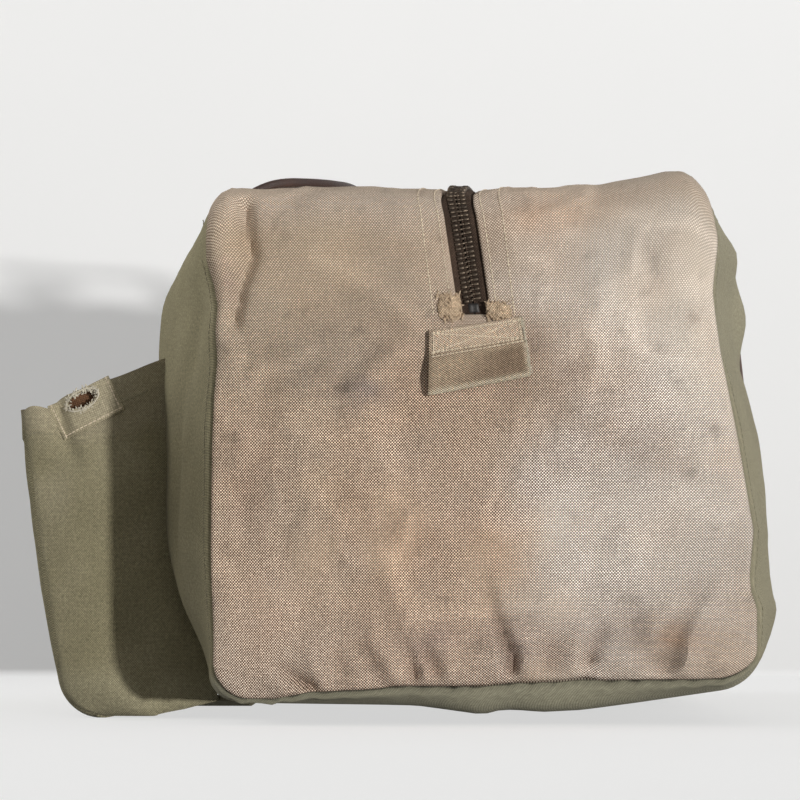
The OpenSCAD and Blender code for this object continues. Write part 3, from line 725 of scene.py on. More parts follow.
# each canvas: pitch of its yarns, shade between them, shade of their crowns, depth, unevenness, sheen
TAN = canvas_finish("tan canvas", 0.72, (0.16, 0.05, 0.01), (2.74, 3.0, 3.36), 0.16, 0.13, 0.0)
OLIVE = canvas_finish("olive canvas", 0.62, (0.8, 0.8, 0.8), (1.46, 1.46, 1.46), 0.1, 0.10, 0.05)
WEBBING = canvas_finish("webbing", 0.7, (0.32, 0.27, 0.22), (2.46, 2.64, 2.88), 0.2, 0.16, 0.05)
FRAY = canvas_finish("frayed webbing", 0.66, (0.5, 0.47, 0.44), (1.75, 1.8, 1.86), 0.2, 0.16, 0.05)
TAPE = canvas_finish("zip tape", 0.7, (0.75, 0.75, 0.75), (1.4, 1.4, 1.4), 0.18, 0.15, 0.05)
LEATHER = leather_finish("old leather", 0.36, 0.6)
TEETH = metal_finish("zip metal", (0.055, 0.043, 0.034), (0.17, 0.13, 0.095), 0.4)
STOP = metal_finish("stop metal", (0.05, 0.047, 0.045), (0.13, 0.125, 0.12), 0.42)
RING = metal_finish("ring metal", (0.14, 0.10, 0.055), (0.36, 0.28, 0.16), 0.32)
CREAM = thread_finish("cream thread", (234, 217, 190))
GREEN = thread_finish("olive thread", (150, 143, 116))
PALE = thread_finish("pale fray", (216, 208, 188))
BROWN = thread_finish("brown thread", (96, 74, 58))
TUFT = thread_finish("canvas fray", (202, 178, 149))


# ---- stains and fading, as colours on the cloth

def plain_tint(rgb, shape):
    """One colour over a whole grid."""
    return np.broadcast_to(linear(*rgb), shape + (3,))


def shaded(colour, factor):
    """A grid of colours made lighter or darker by a grid of numbers."""
    return colour * np.asarray(factor)[..., None]


def blend_to(colour, rgb, share):
    """A grid of colours moved towards one colour, by a share at each place."""
    share = np.asarray(share)[..., None]
    return colour * (1 - share) + linear(*rgb) * share


# places on the near end, as (across, up, half width, half height, colour, share)
STAINS = [
    (-50, 166, 13, 6, (120, 110, 108), 0.45), (-54, 170, 6, 4, (104, 98, 98), 0.4),
    (52, 176, 7, 5, (128, 108, 92), 0.5), (40, 168, 12, 6, (150, 126, 104), 0.4),
    (86, 138, 18, 13, (160, 140, 120), 0.65), (96, 219, 8, 5, (160, 143, 128), 0.6),
    (97, 39, 9, 9, (176, 130, 88), 0.7), (96, 27, 7, 6, (112, 98, 76), 0.6),
    (106, 44, 4, 18, (184, 168, 150), 0.7), (-121, 220, 6, 12, (172, 146, 132), 0.45),
    (-112, 120, 20, 45, (170, 143, 122), 0.55), (-70, 118, 26, 14, (160, 138, 112), 0.5),
    (-24, 34, 11, 8, (116, 104, 100), 0.5), (-14, 42, 8, 6, (126, 112, 106), 0.45),
    (21, 30, 10, 14, (128, 110, 98), 0.5), (22, 48, 14, 10, (146, 128, 112), 0.4),
    (70, 44, 16, 12, (150, 132, 116), 0.4), (118, 60, 12, 20, (205, 192, 176), 0.6),
    (38, 222, 40, 26, (208, 192, 174), 0.5), (37, 252, 24, 9, (188, 152, 122), 0.5),
    (-60, 236, 40, 18, (182, 164, 140), 0.6), (10, 110, 34, 24, (190, 168, 146), 0.5),
    (-104, 64, 18, 22, (176, 156, 136), 0.5), (60, 90, 34, 26, (192, 176, 158), 0.55),
    (-40, 92, 40, 16, (165, 142, 120), 0.45), (112, 180, 14, 40, (206, 196, 180), 0.6),
    (80, 48, 40, 22, (158, 142, 124), 0.6), (30, 196, 9, 12, (140, 116, 96), 0.45),
    (115, 204, 4, 4, (128, 112, 98), 0.7), (120, 148, 3, 3, (110, 96, 84), 0.8),
    (-65, 168, 4, 3, (92, 80, 68), 0.8), (86, 262, 34, 12, (166, 148, 128), 0.5),
    (100, 236, 12, 10, (160, 142, 124), 0.4),
]


def tan_tint(x, s):
    """Colour of the tan canvas: browner to the left, bleached to the right, soiled along folds and seams,
    with painted shade in the pleats and painted highlight and shade along the draw-lines.
    """
    x, s = np.broadcast_arrays(np.asarray(x, float), np.asarray(s, float))
    u = ROLL_Z + s
    near = u < NEAR_REACH
    drift = x + 26 * cloud(x, s, 60, 3, 51)
    colour = blend_to(plain_tint((173, 152, 129), x.shape), (174, 155, 131), smooth(-20, -125, drift))
    colour = blend_to(colour, (207, 194, 178), smooth(8, 84, drift) * 0.95)
    low = near * (1 - smooth(25, 90, u + 18 * cloud(x, s, 40, 2, 61)))
    colour = blend_to(colour, (178, 161, 141), 0.8 * low)
    colour = blend_to(colour, (186, 170, 151), 0.8 * smooth(238, 262, u + 6 * cloud(x, s, 30, 2, 71)))
    for cx, cu, rx, ru, rgb, share in STAINS:
        d = ((x - cx) / rx) ** 2 + ((u - cu) / ru) ** 2
        d = d * (1 + 0.7 * cloud(x, s, max(rx, ru), 2, int(91 + abs(cx))))
        d = d + 0.8 * np.abs(cloud(x, s, 7, 2, 93))
        colour = blend_to(colour, rgb, near * 0.85 * share * np.exp(-np.maximum(0, d)))
    soil = cloud(x, s, 48, 4, 81)
    colour = shaded(colour, 1 + 0.15 * np.clip(soil, -1, 1))
    warm = np.clip(cloud(x, s, 85, 3, 83) + 0.6 * cloud(x, s, 26, 2, 85), -1, 1)[..., None]
    colour = colour * (1 + warm * np.array([0.04, -0.008, -0.05]))
    speck = smooth(0.55, 0.9, cloud(x, s, 9, 3, 87)) + 0.8 * smooth(0.72, 0.9, cloud(x, s, 4.2, 2, 89))
    colour = shaded(colour, 1 - 0.17 * speck)
    colour = shaded(colour, 0.985 + crumples(x, s, 0.16, 0.1))
    # painted highlight along the raised draw-lines and painted shade along the sunk ones
    for points, width, height, fade in DRAWS:
        colour = shaded(colour, 1 + near * 0.08 * crease(x, u, points, width * 0.8, height, fade))
    # soil and painted shade darken the sunk pleats
    fold_soil_and_shade = sum(soiled * crease(x, u, points, width * 1.15, 1.0)
                for points, width, _, soiled in PLEATS if soiled)
    colour = colour * (1 - (near * np.minimum(0.6, fold_soil_and_shade))[..., None] * np.array([0.85, 0.95, 1.0]))
    # the weave shows most in the middle, least where the cloth is bleached and rubbed
    crisp = 0.5 + 0.5 * smooth(240, 150, u)
    crisp = crisp * (1 - 0.4 * smooth(45, 112, drift)) * (1 - 0.3 * smooth(0.2, 0.9, soil))
    crisp = np.where(near, crisp, 0.6)
    return np.concatenate([colour, crisp[..., None]], -1)


def olive_tint(a, b, seed, base=(138, 131, 104), fade=(158, 150, 124), dark=(112, 105, 80)):
    """Colour of olive canvas, washed out in patches and darker in others."""
    patch = cloud(a, b, 90, 4, seed)
    colour = blend_to(plain_tint(base, patch.shape), fade, 0.8 * smooth(0.1, 0.9, patch))
    colour = blend_to(colour, dark, 0.7 * smooth(0.05, 0.9, -patch))
    return shaded(colour, 1 + 0.08 * np.clip(cloud(a, b, 24, 3, seed + 7), -1, 1))


def leather_tint(a, b, edge, seed):
    """Colour of dark brown leather, lighter where it is rubbed, darker at the painted edges."""
    rubbed = cloud(a, b, 40, 3, seed)
    colour = blend_to(plain_tint((86, 62, 54), rubbed.shape), (118, 86, 70), 0.6 * smooth(0.0, 0.9, rubbed))
    return blend_to(colour, (48, 34, 30), 0.8 * (1 - smooth(0, 2.4, edge)))


# ---- rows that repeat: stitches, teeth, frayed threads

def new_tree(name, shape_in, inputs, shape_out):
    """A tree with its named inputs, as the tree, its start and its end."""
    tree = bpy.data.node_groups.new(name, "GeometryNodeTree")
    sockets = [(shape_in, "INPUT", "Geometry")] + [(title, "INPUT", kind) for title, kind in inputs]
    for title, way, kind in sockets + [(shape_out, "OUTPUT", "Geometry")]:
        tree.interface.new_socket(title, in_out=way, socket_type="NodeSocket" + kind)
    return tree, tree.nodes.new("NodeGroupInput"), tree.nodes.new("NodeGroupOutput")


def chance_between(tree, start, kind, low, high):
    """A random number (FLOAT) or vector (FLOAT_VECTOR) for each unit; the limits are values or outputs."""
    node = tree.nodes.new("FunctionNodeRandomValue")
    node.data_type = kind
    tree.links.new(start.outputs["Seed"], node.inputs["Seed"])
    wanted = "VALUE" if kind == "FLOAT" else "VECTOR"
    limits = [s for s in node.inputs if s.type == wanted and s.enabled]
    for socket, value in zip(limits, (low, high)):
        if isinstance(value, bpy.types.NodeSocket):
            tree.links.new(value, socket)
        else:
            socket.default_value = value
    return next(s for s in node.outputs if s.type == wanted and s.enabled)


def set_units(tree, start, end, points, turn, size):
    """Sets the unit at each point and makes it plain mesh with its finish."""
    make, join = tree.nodes.new, tree.links.new
    unit = make("GeometryNodeObjectInfo")
    join(start.outputs["Unit"], unit.inputs["Object"])
    put = make("GeometryNodeInstanceOnPoints")
    given = {"Points": points, "Instance": unit.outputs["Geometry"], "Rotation": turn, "Scale": size}
    for key, output in given.items():
        join(output, put.inputs[key])
    real = make("GeometryNodeRealizeInstances")
    join(put.outputs[0], real.inputs[0])
    coat = make("GeometryNodeSetMaterial")
    join(real.outputs[0], coat.inputs["Geometry"])
    join(start.outputs["Material"], coat.inputs["Material"])
    join(coat.outputs[0], end.inputs[0])
    return tree


def row_tree():
    """Sets one unit after another along lines of edges that carry their own along and up attributes."""
    inputs = (("Unit", "Object"), ("Pitch", "Float"), ("Unevenness", "Float"),
              ("Material", "Material"), ("Seed", "Int"))
    tree, start, end = new_tree("units along a line", "Lines", inputs, "Row")
    make, join = tree.nodes.new, tree.links.new
    line = make("GeometryNodeMeshToCurve")
    join(start.outputs["Lines"], line.inputs[0])
    even = make("GeometryNodeResampleCurve")
    even.mode = "LENGTH"
    join(line.outputs[0], even.inputs["Curve"])
    join(start.outputs["Pitch"], even.inputs["Length"])
    turns = []
    for name, axis, pivot in (("along", "X", "AUTO"), ("up", "Z", "X")):
        read = make("GeometryNodeInputNamedAttribute")
        read.data_type = "FLOAT_VECTOR"
        read.inputs["Name"].default_value = name
        turn = make("FunctionNodeAlignRotationToVector")
        turn.axis, turn.pivot_axis = axis, pivot
        join(read.outputs[0], turn.inputs["Vector"])
        if turns:
            join(turns[-1].outputs[0], turn.inputs["Rotation"])
        turns.append(turn)
    limits = []
    for operation in ("SUBTRACT", "ADD"):
        step = make("ShaderNodeMath")
        step.operation = operation
        step.inputs[0].default_value = 1.0
        join(start.outputs["Unevenness"], step.inputs[1])
        limits.append(step.outputs[0])
    size = chance_between(tree, start, "FLOAT", *limits)
    return set_units(tree, start, end, even.outputs[0], turns[-1].outputs[0], size)


def fray_tree():
    """Scatters curled threads over a small patch, each turned its own way."""
    inputs = (("Unit", "Object"), ("Density", "Float"), ("Material", "Material"), ("Seed", "Int"))
    tree, start, end = new_tree("threads on a patch", "Patch", inputs, "Threads")
    spread = tree.nodes.new("GeometryNodeDistributePointsOnFaces")
    for title, socket in (("Patch", "Mesh"), ("Density", "Density"), ("Seed", "Seed")):
        tree.links.new(start.outputs[title], spread.inputs[socket])
    turn = chance_between(tree, start, "FLOAT_VECTOR", (-3.2, -3.2, -3.2), (3.2, 3.2, 3.2))
    size = chance_between(tree, start, "FLOAT", 0.55, 1.25)
    return set_units(tree, start, end, spread.outputs["Points"], turn, size)


ROW_TREE, FRAY_TREE = row_tree(), fray_tree()


def unit_mesh(name, parts):
    """A small unit for rows, from (verts, faces) parts in millimetres; it is a pattern and isn't shown."""
    verts, faces = [], []
    for v, f in parts:
        faces += [[i + len(verts) for i in face] for face in f]
        verts += list(v)
    obj = mesh_object(name, verts, faces)
    shade_smooth(obj.data)
    return obj


def lozenge(length, width, height):
    """A rounded grain along X, as verts and faces."""
    rings, sides = 4, 6
    verts, faces = [(-length / 2, 0, 0)], []
    for i in range(1, rings + 1):
        t = math.pi * i / (rings + 1)
        for k in range(sides):
            a = 2 * math.pi * k / sides
            r = math.sin(t) ** 0.6 / 2
            verts.append((-length / 2 * math.cos(t), width * r * math.cos(a), height * r * math.sin(a)))
    verts.append((length / 2, 0, 0))
    last = len(verts) - 1
    for k in range(sides):
        n = (k + 1) % sides
        faces.append((0, 1 + n, 1 + k))
        for i in range(rings - 1):
            a, b = 1 + i * sides, 1 + (i + 1) * sides
            faces.append((a + k, a + n, b + n, b + k))
        faces.append((last, 1 + (rings - 1) * sides + k, 1 + (rings - 1) * sides + n))
    return verts, faces


def strand(length, thick, bend):
    """A curled bit of thread, as verts and faces."""
    rings, sides = 6, 5
    verts, faces = [], []
    for i in range(rings):
        t = i / (rings - 1)
        a = bend * (t - 0.5)
        wave = 0.12 * length * math.sin(7 * t)
        middle = np.array([length / bend * math.sin(a), wave, length / bend * (1 - math.cos(a))])
        out = np.array([-math.sin(a), 0, math.cos(a)])
        r = thick / 2 * (1 - 0.5 * abs(2 * t - 1) ** 3)
        for k in range(sides):
            b = 2 * math.pi * k / sides
            verts.append(tuple(middle + r * (math.cos(b) * out + math.sin(b) * np.array([0, 1, 0]))))
    for i in range(rings - 1):
        for k in range(sides):
            n = (k + 1) % sides
            faces.append((i * sides + k, (i + 1) * sides + k, (i + 1) * sides + n, i * sides + n))
    faces += [tuple(range(sides)), tuple(reversed(range((rings - 1) * sides, rings * sides)))]
    return verts, faces


def chamfered(size, middle, cut):
    """A small block with cut upper corners, as verts and faces."""
    (a, b, c), (x, y, z) = np.array(size) / 2, middle
    verts = []
    for k, d in ((-c, 0), (c - cut, 0), (c, cut)):
        verts += [(x + i * (a - d), y + j * (b - d), z + k) for i, j in ((-1, -1), (1, -1), (1, 1), (-1, 1))]
    faces = [(3, 2, 1, 0), (8, 9, 10, 11)]
    for low in (0, 4):
        faces += [(low + k, low + (k + 1) % 4, low + 4 + (k + 1) % 4, low + 4 + k) for k in range(4)]
    return verts, faces


# units: length, width and height of a stitch; length, thickness and curl of a thread
STITCH = unit_mesh("stitch_unit", [lozenge(2.5, 0.62, 0.5)])
FINE_STITCH = unit_mesh("fine_stitch_unit", [lozenge(2.2, 0.66, 0.55)])
# a tooth's foot on the cord, and its head towards the other row
TOOTH = unit_mesh("tooth_unit", [chamfered((1.7, 3.0, 2.6), (0, -1.6, 0), 0.45),
                                 chamfered((1.15, 2.2, 1.9), (0, 0.9, 0.1), 0.35)])
SATIN = unit_mesh("satin_unit", [lozenge(3.4, 0.75, 0.7)])
STRAND = unit_mesh("strand_unit", [strand(3.6, 0.8, 1.6)])
HAIR = unit_mesh("hair_unit", [strand(3.2, 0.24, 1.6)])
UNITS = [STITCH, FINE_STITCH, TOOTH, SATIN, STRAND, HAIR]
# edges past this angle stay sharp, in degrees
ROW_SHARP = 60


def set_inputs(mod, tree, given):
    """Sets a modifier's inputs by their sockets' identifiers."""
    mod.node_group = tree
    for item in tree.interface.items_tree:
        if item.in_out == "INPUT" and item.name in given:
            mod[item.identifier] = given[item.name]


def fray(name, points, unit, count, finish, seed):
    """Curled threads scattered over a grid of points in millimetres."""
    rows, cols = points.shape[:2]
    obj = mesh_object(name, points.reshape(-1, 3), grid_faces(rows, cols))
    area = sum(f.area for f in obj.data.polygons)
    mod = obj.modifiers.new("threads", "NODES")
    set_inputs(mod, FRAY_TREE, {"Unit": unit, "Density": count / area, "Material": finish, "Seed": seed})
    return finish_mesh(baked(obj), ROW_SHARP)


def row(name, lines, ups, unit, pitch, finish, uneven, seed=1):
    """Units along lines of points in millimetres; ups are the outward directions at the points."""
    verts, edges, along, up = [], [], [], []
    for pts, outs in zip(lines, ups):
        pts = np.asarray(pts, float)
        edges += [(len(verts) + i, len(verts) + i + 1) for i in range(len(pts) - 1)]
        tangent = np.gradient(pts, axis=0)
        verts += list(pts)
        along += list(tangent / np.linalg.norm(tangent, axis=1, keepdims=True))
        up += list(np.broadcast_to(outs, pts.shape))
    mesh = bpy.data.meshes.new(name)
    mesh.from_pydata([tuple(v) for v in np.array(verts) * MM], edges, [])
    for key, values in (("along", along), ("up", up)):
        layer = mesh.attributes.new(key, "FLOAT_VECTOR", "POINT")
        layer.data.foreach_set("vector", np.array(values, np.float32).ravel())
    obj = bpy.data.objects.new(name, mesh)
    bpy.context.scene.collection.objects.link(obj)
    mod = obj.modifiers.new("row", "NODES")
    set_inputs(mod, ROW_TREE, {"Unit": unit, "Pitch": pitch * MM, "Unevenness": uneven,
                               "Material": finish, "Seed": seed})
    return finish_mesh(baked(obj), ROW_SHARP)


def strip_rows(offsets, ss, h):
    """Lines along the tan strip at distances across it, and their outward directions."""
    ss = np.asarray(ss, float)
    xs = [np.full(len(ss), x) for x in offsets]
    return [strip(x, ss, h) for x in xs], [strip_up(x, ss) for x in xs]


# ---- tan strip: near end, top, lips, yoke and far end

# distances in from a turned edge, and from the slot, at which the cloth has its columns
EDGE = [0.0, 0.35, 0.9, 1.7, 2.8, 4.5, 7.0]
SLOT_EDGE = [0.0, 0.15, 0.5, 1.1, 2.0, 3.4]
# round of a turned edge, and the hang of the cloth behind it
EDGE_R, SKIRT = 2.6, 2.2


def edge_curl(inside, r=EDGE_R):
    """How far the turned edge of a panel drops, by its distance from the edge."""
    d = np.clip(r - inside, 0, r)
    return r - np.sqrt(np.maximum(0, r * r - d * d))


def across(width, count):
    """Columns from left to right, denser at the edges and the slot, and how many lie left of the slot."""
    w = np.asarray(width, float)[:, None]
    inner = np.linspace(0, 1, count)[1:-1]
    slot = SLOT + np.array(SLOT_EDGE)
    panel = (-w + EDGE[-1]) + inner * (w - EDGE[-1] - slot[-1])
    at_slot = np.broadcast_to(-slot[::-1], (len(w), len(slot)))
    left = np.concatenate([-w, -w + np.array(EDGE), panel, at_slot], 1)
    mid = np.broadcast_to(np.array([-4.0, 0.0, 4.0]), (len(w), 3))
    return np.concatenate([left, mid, -left[:, ::-1]], 1), left.shape[1]


def slot_curl(x):
    """How far the cloth drops along the slot."""
    return edge_curl(np.maximum(0, np.abs(x) - SLOT), SLOT_R)


def end_panel(name, far):
    """An end with its rolled top, slotted for the zip, its outer edges turned in."""
    low = SEAM_LIFT + SEAM_IN
    zs = np.concatenate([[low], low + np.array(EDGE), np.linspace(low + EDGE[-1], SLOT_FOOT, 72)[1:],
                         np.linspace(SLOT_FOOT, ROLL_Z, 17)[1:]])
    _, width = panel_edge(0 * zs, zs)
    ss = np.concatenate([s_of_z(zs), np.linspace(0, ARC, 15)[1:]])
    _, z, _, _ = strip_line(ss)
    width = np.concatenate([width, half(z[len(zs):]) - SEAM_IN])
    x, left = across(width, 48)
    s = np.broadcast_to(ss[:, None], x.shape)
    inside, _ = panel_edge(x, np.broadcast_to(z[:, None], x.shape))
    inside[len(zs):] = (width[:, None] - np.abs(x))[len(zs):]
    curl = edge_curl(np.maximum(0, inside))
    # the outermost row and columns hang down behind the edge
    skirt = np.zeros(x.shape)
    skirt[:, 0] = skirt[:, -1] = skirt[0] = SKIRT
    slotted = ss > s_of_z(SLOT_FOOT) - 0.01
    at_slot = np.where(slotted[:, None], slot_curl(x), 0)
    keep = np.ones((len(ss) - 1, x.shape[1] - 1), bool)
    keep[np.ix_(slotted[:-1] & slotted[1:], np.arange(left - 1, left + 3))] = False
    if far:
        s = FAR_WALL - s
    points = strip(x, s, 0, curl + skirt + at_slot)
    tint = tan_tint(x, s)
    # painted shade where the turned edge drops into its seam
    tint[..., :3] = shaded(tint[..., :3], 1 - 0.45 * np.clip(curl / EDGE_R, 0, 1) ** 2)
    return cloth(name, points, np.stack([x, s], -1), tint, TAN, keep=keep, flip=far)


for end_name, far in ENDS:
    place(end_panel(end_name + "_end_canvas", far), "bag", "tan_canvas", end_name + "_end_panel")


def top_piece(name, xs, ys, curl_of):
    """A part of the strip's top between columns xs and rows ys."""
    x, y = np.meshgrid(xs, ys)
    s = s_of_y(y)
    return cloth(name, strip(x, s, 0, curl_of(x)), np.stack([x, s], -1), tan_tint(x, s), TAN)


def outer_curl(x):
    """How far the cloth drops along the top's outer edges."""
    return edge_curl(np.maximum(0, TOP_HALF - SEAM_IN - np.abs(x)))


top_rows = np.linspace(-FLAT_Y, FLAT_Y, 120)
outer_cols = TOP_HALF - SEAM_IN - np.array(EDGE)
outer_cols = np.concatenate([outer_cols, np.linspace(outer_cols[-1], FOLD_X, 26)[1:]])
for side_name, sign in SIDES:
    top = top_piece("top_" + side_name + "_canvas", sign * outer_cols[::-sign], top_rows, outer_curl)
    place(top, "bag", "tan_canvas", "top_" + side_name + "_panel")

lip_cols = np.concatenate([SLOT + np.array(SLOT_EDGE), np.linspace(SLOT + SLOT_EDGE[-1], FOLD_X, 14)[1:]])
# each lip is made in two halves, which meet here
SPLIT_Y = -50.0
# each half: its ends along the bag, then where it follows the bag and where the lip, in metres
LIP_ENDS = {"near": (-FLAT_Y, SPLIT_Y, -0.237, -0.08), "far": (SPLIT_Y, YOKE_Y, 0.140, -0.02)}
LIP_STEP = 4


def opens(obj, side_name, end_name, slot, *nodes):
    """A piece of a lip, its placing baked into its mesh, with the solids that it stands for hidden."""
    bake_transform(obj)
    if nodes:
        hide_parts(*nodes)
    return obj


for side_name, sign in SIDES:
    cols = sign * lip_cols[::sign]
    for end_name, (y0, y1, _, _) in LIP_ENDS.items():
        ys = np.linspace(y0, y1, 2 + int((y1 - y0) / LIP_STEP))
        lip = top_piece(side_name + "_lip_" + end_name, cols, ys, slot_curl)
        opens(lip, side_name, end_name, "tan_canvas", side_name + "_lip")
    yoke = top_piece(side_name + "_yoke_canvas", cols, np.linspace(YOKE_Y, FLAT_Y, 26), slot_curl)
    place(yoke, "bag", "tan_canvas")


# ---- olive wrap round the sides and the floor

def wrap_grid():
    """Rows along the bag of places round it: x, z, their outward x and z, and their share of wrinkles."""
    edge = np.array([3.0, 3.3, 3.9, 4.8, 6.0, 7.6, 9.6, 12.0, 15.0])
    ys = np.concatenate([-END_Y + edge, np.linspace(-END_Y + 19, END_Y - 19, 124), (END_Y - edge)[::-1]])
    turn = np.radians(np.linspace(0, 90, 11)[1:])
    rows = []
    for y in ys:
        rim, foot = float(rim_z(y)), float(foot_z(y))
        knee = foot + FOOT_R
        zs = np.concatenate([rim - edge, np.linspace(rim - 18, knee, 46)])
        cols = []
        for _, sign in SIDES:
            xs = side_x(y, zs, side_curve(sign))
            knee_x = xs[-1] - FOOT_R
            wall = np.stack([sign * xs, zs, sign * np.ones_like(zs), 0 * zs, np.ones_like(zs)], -1)
            bend = np.stack([sign * (knee_x + FOOT_R * np.cos(turn)), knee - FOOT_R * np.sin(turn),
                             sign * np.cos(turn), -np.sin(turn), 0.6 * np.cos(turn)], -1)
            cols.append(np.concatenate([wall, bend]))
        xs = np.linspace(cols[0][-1, 0], cols[1][-1, 0], 44)[1:-1]
        floor = np.stack([xs, 0 * xs + foot, 0 * xs, 0 * xs - 1, 0 * xs], -1)
        rows.append(np.concatenate([cols[0], floor, cols[1][::-1]]))
    return ys, np.array(rows)


# how far the wrap's edges lie inside the seam line, and the least height of its floor
TUCK_IN, FLOOR_CLEAR = 3.0, 0.4


def olive_wrap():
    """The one piece of olive canvas round both sides and the floor."""
    ys, grid = wrap_grid()
    y = np.broadcast_to(ys[:, None], grid.shape[:2])
    x, z, nx, nz, amount = np.moveaxis(grid, -1, 0)
    relief = np.where(nx < 0, wrap_relief(y, z, -1), wrap_relief(y, z, 1)) * amount
    # edges turn in under the tan strip
    gap = np.minimum(END_Y - TUCK_IN - np.abs(y), np.where(amount > 0.99, rim_z(y) - TUCK_IN - z, 99))
    tuck = 2.4 * np.clip(1 - np.maximum(0, gap) / 2.6, 0, 1) ** 2
    tuck = tuck + 3.2 * bell(y, -END_Y, 22) * smooth(226, 250, z) * (nx < -0.5)
    # the seam at the foot is gathered
    gather = 0.7 * np.sin(x / 2.1 + 2 * cloud(x, y, 30, 2, 5)) * bell(np.abs(y), END_Y - 4, 9) * (nz < -0.9)
    lift = relief - tuck + gather
    points = settle(np.stack([x + nx * lift, y, z + nz * lift], -1))
    points[..., 2] = np.maximum(points[..., 2], FLOOR_CLEAR)
    steps = np.hypot(np.diff(x, axis=1), np.diff(z, axis=1))
    run = np.concatenate([np.zeros((len(ys), 1)), np.cumsum(steps, 1)], 1)
    # painted light: paler under the near foot and on the right; on the left, painted light high up and
    # painted shade low down
    tint = olive_tint(y, run, 101)
    tint = blend_to(tint, (166, 162, 140), 0.9 * smooth(0.1, 0.7, -nz) * bell(y, -END_Y, 60))
    tint = blend_to(tint, (160, 154, 132), (nx > 0.5) * (0.55 + 0.2 * smooth(150, 240, z)))
    left_painted_light_and_shade = 0.26 * smooth(150, 215, z) - 0.22 * smooth(150, 50, z) * smooth(-262, -236, y)
    # painted shade where the edges turn in under the tan strip, with the left side's painted light and shade
    tint = shaded(tint, 1 - 0.35 * bell(gap, 0, 1.1) + (nx < -0.5) * left_painted_light_and_shade)
    return cloth("olive_wrap", points, np.stack([y, run], -1), tint, OLIVE, flip=True)


place(olive_wrap(), "bag", "olive_canvas", "body_wrap")


# ---- zip: tapes, teeth and stops

def chain_depth(s):
    """How far the zip lies below the canvas; it rises where it turns over the top edge."""
    return TAPE_DEPTH - 5.0 * bell(s, ARC - 8, 9)


def tape_piece(name, sign, ss):
    """One side's tape: a dark woven band with a ridge beside the teeth, domed where the zip rises; it reaches
    in under the chain as a dark backing, with painted shade under the teeth.
    """
    x, s = np.meshgrid(sign * np.linspace(0.5, TAPE_OUT, 13)[::sign], ss)
    ridge = 0.35 * bell(np.abs(x), 6.0, 0.9)
    tint = shaded(plain_tint((76, 62, 52), x.shape), 1 + 0.3 * cloud(x, s, 12, 3, 111))
    # painted shade under and between the teeth
    tint = blend_to(tint, (50, 40, 34), 0.75 * bell(np.abs(x), TAPE_IN, 2.2))
    sunk = TAPE_DEPTH + 1.2 * (chain_depth(s) - TAPE_DEPTH) * np.maximum(0, 1 - (x / 8.5) ** 2)
    return cloth(name, strip(x, s, ridge - sunk), np.stack([x, s], -1), tint, TAPE, 0.7)


def tooth_line(sign, s0, s1):
    """One row of teeth along the strip, its units pointing at the chain's middle."""
    shift = TOOTH_PITCH / 2 if sign > 0 else 0.0
    ss = np.linspace(s0 + shift, s1, max(8, int((s1 - s0) / 1.6)))[::sign]
    lines, ups = strip_rows([sign * TOOTH_X], ss, -chain_depth(ss) - 0.2)
    return lines[0], ups[0]


def teeth(name, signs, s0, s1):
    """Rows of teeth on one side of the chain or on both."""
    lines, ups = zip(*[tooth_line(sign, s0, s1) for sign in signs])
    return row(name, lines, ups, TOOTH, TOOTH_PITCH, TEETH, 0.02)


# the chain's and the tapes' runs down each end
chain_runs = {"near": (s_of_z(ZIP_FOOT), ARC), "far": (s_of_y(YOKE_Y) + 1, s_far(ZIP_FOOT))}
tape_runs = {"near": np.linspace(s_of_z(TAPE_FOOT), ARC, 60),
             "far": np.linspace(s_of_y(YOKE_Y), s_far(TAPE_FOOT), 100)}
for end_name, ss in tape_runs.items():
    place(tape_piece(end_name + "_tape_left", -1, ss), "bag", "zip_tape", "zip_tape_" + end_name)
    place(tape_piece(end_name + "_tape_right", 1, ss), "bag", "zip_tape")
for end_name, run in chain_runs.items():
    place(teeth(end_name + "_teeth", (-1, 1), *run), "bag", "zip_metal", "zip_teeth_" + end_name)
for side_name, sign in SIDES:
    for end_name, (y0, y1, _, _) in LIP_ENDS.items():
        ss = np.linspace(s_of_y(y0), s_of_y(y1), 2 + int((y1 - y0) / LIP_STEP))
        tape = tape_piece(side_name + "_tape_" + end_name, sign, ss)
        opens(tape, side_name, end_name, "zip_tape", "zip_tape_" + side_name)
        comb = teeth(side_name + "_teeth_" + end_name, (sign,), ss[0] + 0.6, ss[-1] - 0.4)
        opens(comb, side_name, end_name, "zip_metal", "zip_teeth_" + side_name)


def zip_stop(name, far):
    """A pressed metal stop that closes the two rows: a plate bent round the chain."""
    ss = np.linspace(s_end(STOP_LOW, far), s_end(STOP_HIGH, far), 7)
    x, s = np.meshgrid(np.linspace(-STOP_HALF, STOP_HALF, 9), ss)
    along = np.abs(s - ss.mean()) / (abs(ss[-1] - ss[0]) / 2)
    puff = 1.5 * (1 - (np.abs(x) / STOP_HALF) ** 4) * (1 - along ** 6)
    points = strip(x, s, -TAPE_DEPTH - 0.9 + puff - 0.5 * bell(x, 0, 0.7))
    return cloth(name, points, np.stack([x, s], -1), plain_tint((70, 66, 62), x.shape), STOP, 1.4, flip=far)


for end_name, far in ENDS:
    place(zip_stop(end_name + "_stop", far), "bag", "stop_metal", "zip_stop_" + end_name)

# ---- rows of stitching on the tan strip

# where the rows beside the zip lie across the bag, how low they reach, and their stitch
FACING, FACING_FOOT, FACING_PITCH = (-20.3, -11.2, 11.6, 20.6), 206.0, 2.6


def facing_stitches(name, offsets, *runs):
    """Rows of stitches beside the zip, over one or more runs of the strip."""
    rows = [strip_rows(offsets, ss, 0.2) for ss in runs]
    lines, ups = [sum(part, []) for part in zip(*rows)]
    return row(name, lines, ups, FINE_STITCH, FACING_PITCH, CREAM, 0.15)


